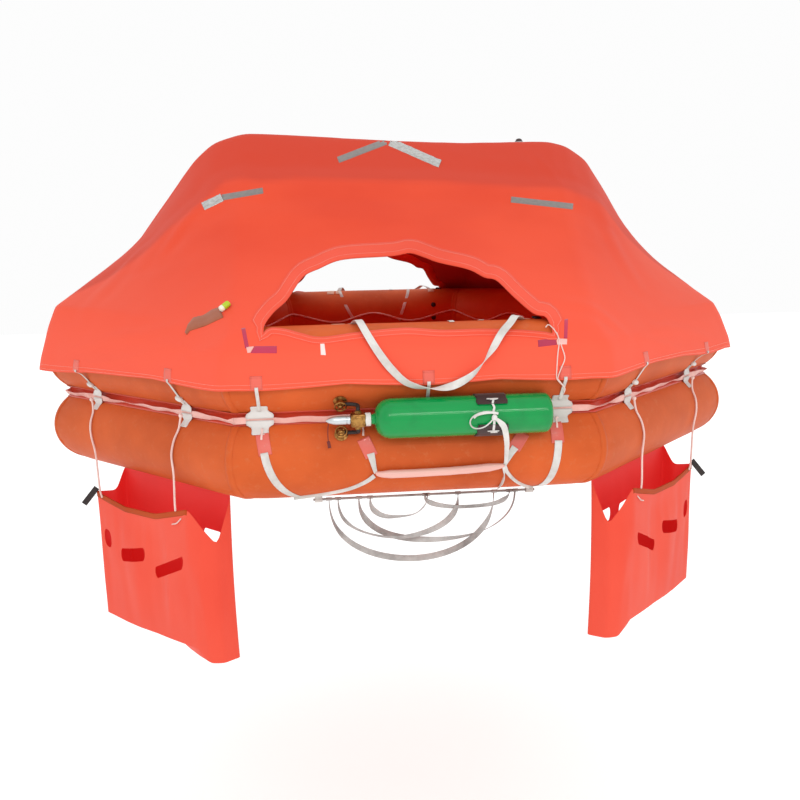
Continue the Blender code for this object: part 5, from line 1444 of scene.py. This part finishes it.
ends = [(HEADER_MID_X + sign * HEADER_HALF, LADDER_Y, HEADER_Z) for sign in (-1, 1)]
pieces = [rod("header", resample(ends, 30), HEADER_RADIUS, 14)]
for number, (left, right, drop, base_roll, swing, phase) in enumerate(LADDER_LOOPS):
    path, across = [], []
    for t in np.linspace(0, 1, LOOP_STEPS):
        slack = math.sin(math.pi * t)
        x = (left + right) / 2 - (right - left) / 2 * math.cos(math.pi * t)
        y = LADDER_Y + LOOP_STAGGER * (number - 2) + LOOP_SWAY * slack * math.sin(number * 2.4 + 1.5 * t)
        wobble = noise.noise((number * 9.1, t * 3.0, 0.0))
        z = HEADER_Z - drop * slack ** LOOP_FULLNESS + LOOP_WOBBLE * slack * wobble
        path.append((x + LOOP_SHIFT * slack * noise.noise((t * 3.0, number * 5.3, 1.0)), y, z))
    for t, along in zip(np.linspace(0, 1, LOOP_STEPS), np.gradient(np.array(path), axis=0)):
        inward = Vector((0, 1, 0)).cross(Vector(along)).normalized()
        roll = math.radians((base_roll + swing * math.sin(5 * t + phase)) * min(1.0, 6 * min(t, 1 - t)))
        across.append(Vector((0, 1, 0)) * math.cos(roll) + inward * math.sin(roll))
    pieces.append(band("loop", path, across, LOOP_WIDTH, WEB_THICKNESS))
    for end in (left, right):
        pieces.append(barrel("sleeve", SLEEVE_PROFILE, (end, LADDER_Y, HEADER_Z), (1, 0, 0), 18))
# The same webbing painted grey: painted shade for the loops that hang under the tube
ladder_webbing_painted_shade = webbing_material("ladder_webbing_in_painted_shade", "#BDB7B3", "#847D7A", 4.0)
finish(join(pieces, "ladder_webbing_loops"), ladder_webbing_painted_shade, body="ladder",
       replaces=("boarding_ladder",))

# Water pockets
# Four bags of thin nylon hang under the slanting tubes: an outer wall held up by two cords, a wall under
# the tube, and folded sides. They are open at the top, with slots, so they fill in moments.
POCKET_OUT, POCKET_BULGE, POCKET_LOW_POINT = 0.150, 0.010, (0.060, 0.085, -0.668)
# The bag's plan: along its tube, out from its centre line, top and bottom
POCKET_RING = [(-0.314, POCKET_OUT, -0.125, -0.664), (-0.105, POCKET_OUT, -0.155, -0.666),
               (0.105, POCKET_OUT, -0.145, -0.652), (0.322, POCKET_OUT, -0.085, -0.640),
               (0.372, 0.134, -0.150, -0.690), (0.408, 0.094, -0.222, -0.694),
               (0.408, 0.012, -0.0425, -0.704), (0.060, 0.010, -0.0425, -0.665),
               (-0.300, 0.012, -0.0425, -0.655), (-0.272, 0.080, -0.130, -0.650)]
# Slots: along, height, length, height of the opening, droop of its middle, tilt, distance out of the wall
POCKET_SLOTS = [(-0.250, -0.318, 0.062, 0.078, 0.0, 0.0, POCKET_OUT),
                (-0.065, -0.345, 0.172, 0.056, 0.006, 0.020, POCKET_OUT),
                (0.178, -0.338, 0.215, 0.050, 0.035, 0.050, POCKET_OUT),
                (0.285, -0.235, 0.110, 0.056, 0.004, 0.0, 0.006),
                (0.090, -0.245, 0.115, 0.056, 0.004, 0.0, 0.006)]
POCKET_CLOTH, POCKET_HEM = 0.0012, (0.0015, 0.0005, -0.006, -0.013, -0.020)
HEM_FACE, HEM_EDGE_FACE, HEM_BACK = 0.0017, 0.0013, 0.0026
POCKET_FOLDS, POCKET_DRAPE, POCKET_TUG, POCKET_DROOP = 0.010, 0.007, 0.008, 0.012
POCKET_COLUMNS, POCKET_ROWS = 150, 40
POCKETS = (("front_left", 7, 1), ("front_right", 1, -1), ("rear_right", 3, 1), ("rear_left", 5, -1))
CORD_RADIUS = 0.0045
POCKET_CORDS = (("a", -0.305, -0.125), ("b", 0.300, -0.085))
CORD_ARC = [(degrees, TUBE_RADIUS + CORD_RADIUS + 0.0012) for degrees in (33, 20, 8, -4)]
CORD_TIED = 0.131 + CORD_RADIUS + 0.0003
CORD_KNOT = [(-0.008, 0.002), (-0.005, 0.0068), (0.0, 0.0078)]
CORD_LOOP = ((1, 0, 0), (0.6, 1, 0.8), (0.1, 1.3, 1.5), (-0.6, 1, 1.9), (-1, 0, 2.2))
CORD_LOOP_SIZE = np.array([0.030, 0.004, 0.016])


def pocket_point(side, mirror, u, out, z):
    """A place at a water pocket: u along its tube, towards the nearer door when positive."""
    return side_point(side, u * mirror, out, z)


def ring_blur(grid, sigma):
    """Smooths closed rows of points along themselves."""
    weights = bell(sigma)
    return sum(w * np.roll(grid, k - len(weights) // 2, axis=1) for k, w in enumerate(weights))


def pocket_shell():
    """The bag's wall as rows of (u, out, z), from the rim down to its lowest point."""
    corners = np.array(POCKET_RING + POCKET_RING[:1])
    reach = walked(corners[:, :2])
    at = np.linspace(0, reach[-1], POCKET_COLUMNS, endpoint=False)
    u, out, top, low = (np.interp(at, reach, corners[:, i]) for i in range(4))
    rows = []
    for level in np.linspace(0, 1, POCKET_ROWS):
        z = top + (low - top) * level
        full = math.sin(math.pi * level)
        bag = np.stack([u, out + POCKET_BULGE * full * 0.6, z], axis=-1)
        for k in range(POCKET_COLUMNS):
            fold = noise.noise((at[k] * 9.0, z[k] * 2.2, 1.0))
            crease = noise.noise((at[k] * 22.0, z[k] * 4.0, 7.0))
            sag = POCKET_FOLDS * (fold + 0.5 * crease) * (0.25 + full)
            drape = POCKET_DRAPE * full * math.cos((u[k] - 0.1) * 16) * (out[k] > 0.1)
            tug = POCKET_TUG * math.exp(-((level - 0.16) / 0.1) ** 2 - ((u[k] - 0.02) / 0.12) ** 2)
            bag[k, 1] += (sag - drape - tug) * (1 if out[k] > 0.05 else 0.4)
            bag[k, 0] += 0.5 * sag * (abs(out[k] - 0.06) < 0.05)
        rows.append(bag)
    grid = ring_blur(np.array(rows), 0.9)
    last = grid[-1]
    for part in (0.25, 0.5, 0.75, 0.93):
        droop = np.array([0, 0, -POCKET_DROOP * math.sin(math.pi * part)])
        grid = np.concatenate([grid, (last * (1 - part) + np.array(POCKET_LOW_POINT) * part + droop)[None]])
    return grid


def slot_outline(u, z, length, height, droop, rise):
    """The (u, z) outline of a slot with rounded ends."""
    outline = []
    for end in (1, -1):
        for turn in np.linspace(-math.pi / 2, math.pi / 2, 9):
            a = end * (length / 2 - height / 2 * 0.55 * (1 - math.cos(turn)))
            share = a / (length / 2)
            middle = z - droop * (1 - share ** 2) + rise * share
            outline.append((u + a, middle + end * height / 2 * math.sin(turn)))
    return outline


# Thin nylon, coated on one side: a lively red-orange that lets light through. Its inner face is painted a
# brighter red and glows a little: painted light for what comes through the cloth.
pocket_cloth = cloth_material("thin_coated_nylon", "#EA5540", "#E44C38", Roughness=0.55, Sheen_Weight=0.03,
                              Specular_IOR_Level=0.15)
pocket_inside_painted_glow = cloth_material("thin_nylon_inside_painted_glow", "#E2322E", "#D02A28", Roughness=0.65,
                               Emission_Color=linear("#E02A28"), Emission_Strength=0.22)
hem_webbing = cloth_material("orange_hem_tape", "#B84A1C", "#A84016", Roughness=0.6, Specular_IOR_Level=0.12)
shell = pocket_shell()
rim = shell[0]
wall = [k for k in range(POCKET_COLUMNS) if rim[k, 1] > POCKET_OUT - 0.012 and -0.318 < rim[k, 0] < 0.320]
wall.sort(key=lambda k: rim[k, 0])
for name, side, mirror in POCKETS:
    grid = np.array([[pocket_point(side, mirror, *p) for p in row] for row in shell])
    bag = face_out(skin(f"water_pocket_{name}", grid, around=True, ends=(-1,)))
    outward = Vector((*OUTWARD[side], 0.0))
    face = max(bag.data.polygons, key=lambda one: one.center.dot(outward))
    if face.normal.dot(outward) < 0:
        bag.data.flip_normals()
    bag = thickened(bag, POCKET_CLOTH, pocket_cloth, pocket_inside_painted_glow)
    cutters = []
    for *form, through in POCKET_SLOTS:
        ends = [[pocket_point(side, mirror, a, through + depth, b) for a, b in slot_outline(*form)]
                for depth in (-0.030, 0.045)]
        cutters.append(face_out(skin("slot", np.array(ends), around=True, ends=(0, -1))))
        cut = bag.modifiers.new("slot", "BOOLEAN")
        cut.operation = "DIFFERENCE"
        cut.object = cutters[-1]
    bag = applied(bag)
    bag.data.shade_smooth()
    bag.data.set_sharp_from_angle(angle=math.radians(50))
    for cutter in cutters:
        bpy.data.objects.remove(cutter)
    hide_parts(f"pocket_{name}")
    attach(bag, "raft")

    top, bottom = [], []
    for u, out, z in rim[wall]:
        top.append([pocket_point(side, mirror, u, out + (HEM_FACE if j else HEM_EDGE_FACE), z + down)
                    for j, down in enumerate(POCKET_HEM)])
        bottom.append([pocket_point(side, mirror, u, out - HEM_BACK, z + down) for down in POCKET_HEM])
    hem = finish(slab(f"pocket_hem_{name}", np.array(top), np.array(bottom)), hem_webbing)
    u, out, z = rim[wall[0]]
    path = [pocket_point(side, mirror, u + 0.006 - 0.0065 * k, out + 0.003 + 0.0055 * k,
                         z + 0.018 - 0.0100 * k)
            for k in range(8)]
    tag = band(f"pocket_tag_{name}", path, np.cross(path[-1] - path[0], (0, 1, 0)), 0.024, 0.0016)
    finish(tag, dark_rubber)

    for label, u, top_z in POCKET_CORDS:
        route = [(CORD_TIED, SEAM_Z - 0.008), (CORD_TIED, SEAM_Z - 0.027)]
        route += [(reach * math.cos(math.radians(degrees)), LOWER_Z + reach * math.sin(math.radians(degrees)))
                  for degrees, reach in CORD_ARC]
        route += [(0.160, 0.040), (POCKET_OUT + CORD_RADIUS + 0.0052, top_z + 0.025),
                  (POCKET_OUT + CORD_RADIUS + 0.0012, top_z - 0.016)]
        points = [pocket_point(side, mirror, u * (1 - 0.02 * k), out, z) for k, (out, z) in enumerate(route)]
        parts = [rod("cord", smooth_path(points, 70), CORD_RADIUS * 0.86, 12),
                 barrel("knot", CORD_KNOT, points[0], (0, 0, 1))]
        if label == "b":
            loop = [pocket_point(side, mirror, u * 0.84 + a, POCKET_OUT + 0.004 + b, top_z - 0.040 - c)
                    for a, b, c in CORD_LOOP * CORD_LOOP_SIZE]
            parts.append(rod("loop", smooth_path(loop, 20), 0.0026, 8))
        finish(join(parts, f"pocket_line_{name}_{label}"), pink_cord,
               replaces=(f"pocket_{name}_cord_{label}",))

# Inner fittings
# A grab line runs round the inside on the upper tube, in shallow bights, and two topping-up valves with
# black caps sit by the rear door.
GRAB_RADIUS, GRAB_RISE, GRAB_SAG, GRAB_SHARE, GRAB_POINTS = 0.006, 0.020, 0.055, 0.82, 320
TOPPING_X, TOPPING_DEGREES = 0.405, {"a": 22.5, "b": -7.5}
TOPPING_PROFILE = [(0.0, 0.0155), (0.002, 0.016), (0.0035, 0.016), (0.004, 0.0125), (0.009, 0.0120),
                   (0.0115, 0.0095), (0.012, 0.004)]
route = [side_point(side, part * SIDE_LENGTH[side] / 2 * GRAB_SHARE, -(TUBE_RADIUS + GRAB_RADIUS + 0.0006),
                    UPPER_Z + GRAB_RISE - sag)
         for side in range(SIDES)
         for part, sag in ((-1.0, 0.0), (-0.5, GRAB_SAG), (0.0, 0.0), (0.5, GRAB_SAG), (1.0, 0.0))]
grab = rod("grab_line", smooth_path(route + route[:1], GRAB_POINTS)[:-1], GRAB_RADIUS * 0.9, 10, closed=True)
finish(grab, pink_cord, replaces=("inner_grab_line",))
for label, degrees in TOPPING_DEGREES.items():
    out = front_out(degrees)
    base = np.array([TOPPING_X, FRONT_LINE, UPPER_Z]) + out * (TUBE_RADIUS - 0.0005)
    cap = lathe(f"topping_cap_{label}", TOPPING_PROFILE, base, out, 30)
    finish(cap, dark_rubber, replaces=(f"topping_valve_{label}",))

# Painter fastening
# A reinforced patch in the groove at the left end carries a steel ring for the painter line. Neither shows
# in the photo: they stand where its bundle of white lines leaves the raft.
PAD_THICK, PAD_LONG, PAD_TALL, PAD_CROWN = 0.012, 0.120, 0.050, 0.0030
PAD_X = -END_LINE - 0.1083
RING_RADIUS, RING_WIRE = 0.026, 0.004
pad_y, pad_z = np.linspace(-1, 1, 13), np.linspace(-1, 1, 7)
top = np.array([[(PAD_X - PAD_THICK + PAD_CROWN * (1 - (1 - abs(a) ** 4) * (1 - abs(b) ** 4)),
                  a * PAD_LONG / 2, SEAM_Z + b * PAD_TALL / 2) for b in pad_z] for a in pad_y])
bottom = np.array([[(PAD_X, a * PAD_LONG / 2, SEAM_Z + b * PAD_TALL / 2) for b in pad_z] for a in pad_y])
finish(slab("painter_pad", top, bottom), white_cloth, replaces=("painter_patch",))
# Stainless steel wire, drawn and welded: bright
stainless = smooth_material("drawn_stainless_steel", (120.0, 2.0), "#C9CCCD", "#AEB2B4", Roughness=0.22,
                            Metallic=1.0)
ring_place = (PAD_X - PAD_THICK - RING_WIRE - 0.0005, 0, SEAM_Z)
finish(hoop("painter_steel_ring", ring_place, (1, 0, 0), RING_RADIUS, RING_WIRE), stainless,
       replaces=("painter_ring",))

# Stitching
# Pale thread sews the hem of the cover and the hems of its doors, in two rows each. The real stitches are
# 3 mm long; they are drawn longer and stand a little proud, so that they catch the light.
STITCH_SIZES = {"Spacing": 0.0070, "Length": 0.0042, "Radius": 0.00055}


def stitch_tree(material):
    """Stitches along the curves of an object, as a node tree with named sizes."""
    tree = bpy.data.node_groups.new("stitches", "GeometryNodeTree")
    tree.interface.new_socket("Geometry", in_out="INPUT", socket_type="NodeSocketGeometry")
    names = {name: tree.interface.new_socket(name, in_out="INPUT", socket_type="NodeSocketFloat").identifier
             for name in STITCH_SIZES}
    tree.interface.new_socket("Geometry", in_out="OUTPUT", socket_type="NodeSocketGeometry")
    given = tree.nodes.new("NodeGroupInput").outputs
    spots = add(tree, "GeometryNodeCurveToPoints", {"Curve": given[0], "Length": given["Spacing"]},
                mode="LENGTH")
    stitch = add(tree, "GeometryNodeMeshCylinder", {"Vertices": 6, "Radius": given["Radius"],
                                                    "Depth": given["Length"]})
    laid = add(tree, "GeometryNodeInstanceOnPoints", {"Points": spots.outputs["Points"],
                                                      "Instance": stitch.outputs["Mesh"],
                                                      "Rotation": spots.outputs["Rotation"]})
    solid = add(tree, "GeometryNodeRealizeInstances", {"Geometry": laid.outputs[0]})
    painted = add(tree, "GeometryNodeSetMaterial", {"Geometry": solid.outputs[0], "Material": material})
    tree.links.new(painted.outputs[0], tree.nodes.new("NodeGroupOutput").inputs[0])
    return tree, names


def stitched(name, lines, material):
    """One mesh of stitches along lines of points."""
    data = bpy.data.curves.new(name, "CURVE")
    data.dimensions = "3D"
    for line in lines:
        spline = data.splines.new("POLY")
        spline.points.add(len(line) - 1)
        for item, point in zip(spline.points, line):
            item.co = (*point, 1.0)
    guide = placed(name + "_guide", data)
    sewing = guide.modifiers.new("stitches", "NODES")
    sewing.node_group, names = stitch_tree(material)
    for size, identifier in names.items():
        sewing[identifier] = STITCH_SIZES[size]
    made = bpy.data.meshes.new_from_object(guide.evaluated_get(bpy.context.evaluated_depsgraph_get()))
    bpy.data.objects.remove(guide)
    return placed(name, made)


# Bonded polyester thread, twisted: soft, and stained pink by the cover
thread = smooth_material("bonded_polyester_thread", (300.0, 2.0), "#F0B3A4", "#E39A8A", Roughness=0.6,
                         Sheen_Weight=0.2)
normals = outer_normals(half)
lines = []
for row in (-2, -4):
    line = half[row] + normals[row] * 0.0006
    lines += [line, line * TO_REAR]
for reach in (HEM_PIXELS * 0.2, HEM_PIXELS * 0.85):
    edge = []
    for pixel, out in zip(door_pixels, hem_out):
        share = SILL_HEM_PIXELS / HEM_PIXELS if pixel[1] > SILL_PIXEL else 1.0
        edge.append(np.array(on_cloth(*(pixel + out * reach * share), HEM_RISE + 0.0005)))
    edge = np.array(edge + edge[:1])
    lines += [edge, edge * TO_REAR]
finish(stitched("cover_stitches", lines, thread), thread)

# Studio
# A pale floor below the hanging pockets, a white surround, one wide soft light from the front and above,
# a weaker one from the left, and two narrow strips that draw long highlights on the bottle. A red glow
# inside the raft stands for the daylight that its cloth lets through.
FLOOR_Z, FLOOR_REACH = -2.20, 30
floor_data = bpy.data.meshes.new("studio_floor")
floor_corners = [(x * FLOOR_REACH, y * FLOOR_REACH, FLOOR_Z) for x, y in ((-1, -1), (1, -1), (1, 1), (-1, 1))]
floor_data.from_pydata(floor_corners, [], [(0, 1, 2, 3)])
pale, _, shader = start_material("pale_floor", Roughness=0.9, Specular_IOR_Level=0.1,
                                 Emission_Color=(1, 1, 1, 1), Emission_Strength=0.25)
shader.inputs["Base Color"].default_value = (0.98, 0.98, 0.98, 1)
floor_data.materials.append(pale)
placed("studio_floor", floor_data)

world = bpy.data.worlds.new("studio")
bpy.context.scene.world = world
world.use_nodes = True
surround = world.node_tree.nodes["Background"]
surround.inputs["Color"].default_value = (1, 1, 1, 1)
surround.inputs["Strength"].default_value = 0.98
# Place, aim, size across and up, power and colour
LIGHTS = [("key", (-0.8, -4.6, 3.6), (0.0, 0.0, 0.5), (3.2, 3.2), 6.0, "#FFFFFF"),
          ("left", (-5.0, -1.5, 2.4), (0, 0, 0.4), (3.0, 3.0), 5.0, "#FFFFFF"),
          ("upper_strip", (0.2, -3.6, 1.70), (0.16, -1.4, 0.27), (2.6, 0.05), 11.0, "#FFFFFF"),
          ("lower_strip", (0.2, -3.6, 1.35), (0.16, -1.4, 0.27), (2.6, 0.03), 5.0, "#FFFFFF"),
          ("glow", (0.0, 0.0, 1.04), (0.0, 0.0, 0.0), (1.1, 0.30), 6.0, "#FF4436"),
          ("glow_up", (0.0, 0.20, 0.62), (0.0, 0.20, 2.0), (1.3, 0.8), 4.0, "#FF5040")]
for name, spot, aim, size, watts, colour in LIGHTS:
    data = bpy.data.lights.new(name, "AREA")
    data.shape = "RECTANGLE"
    data.size, data.size_y = size
    data.energy = watts
    data.color = linear(colour)[:3]
    turn = (Vector(aim) - Vector(spot)).to_track_quat("-Z", "Y")
    placed(name, data).matrix_world = Matrix.Translation(spot) @ turn.to_matrix().to_4x4()
bpy.context.scene.view_settings.view_transform = "Standard"
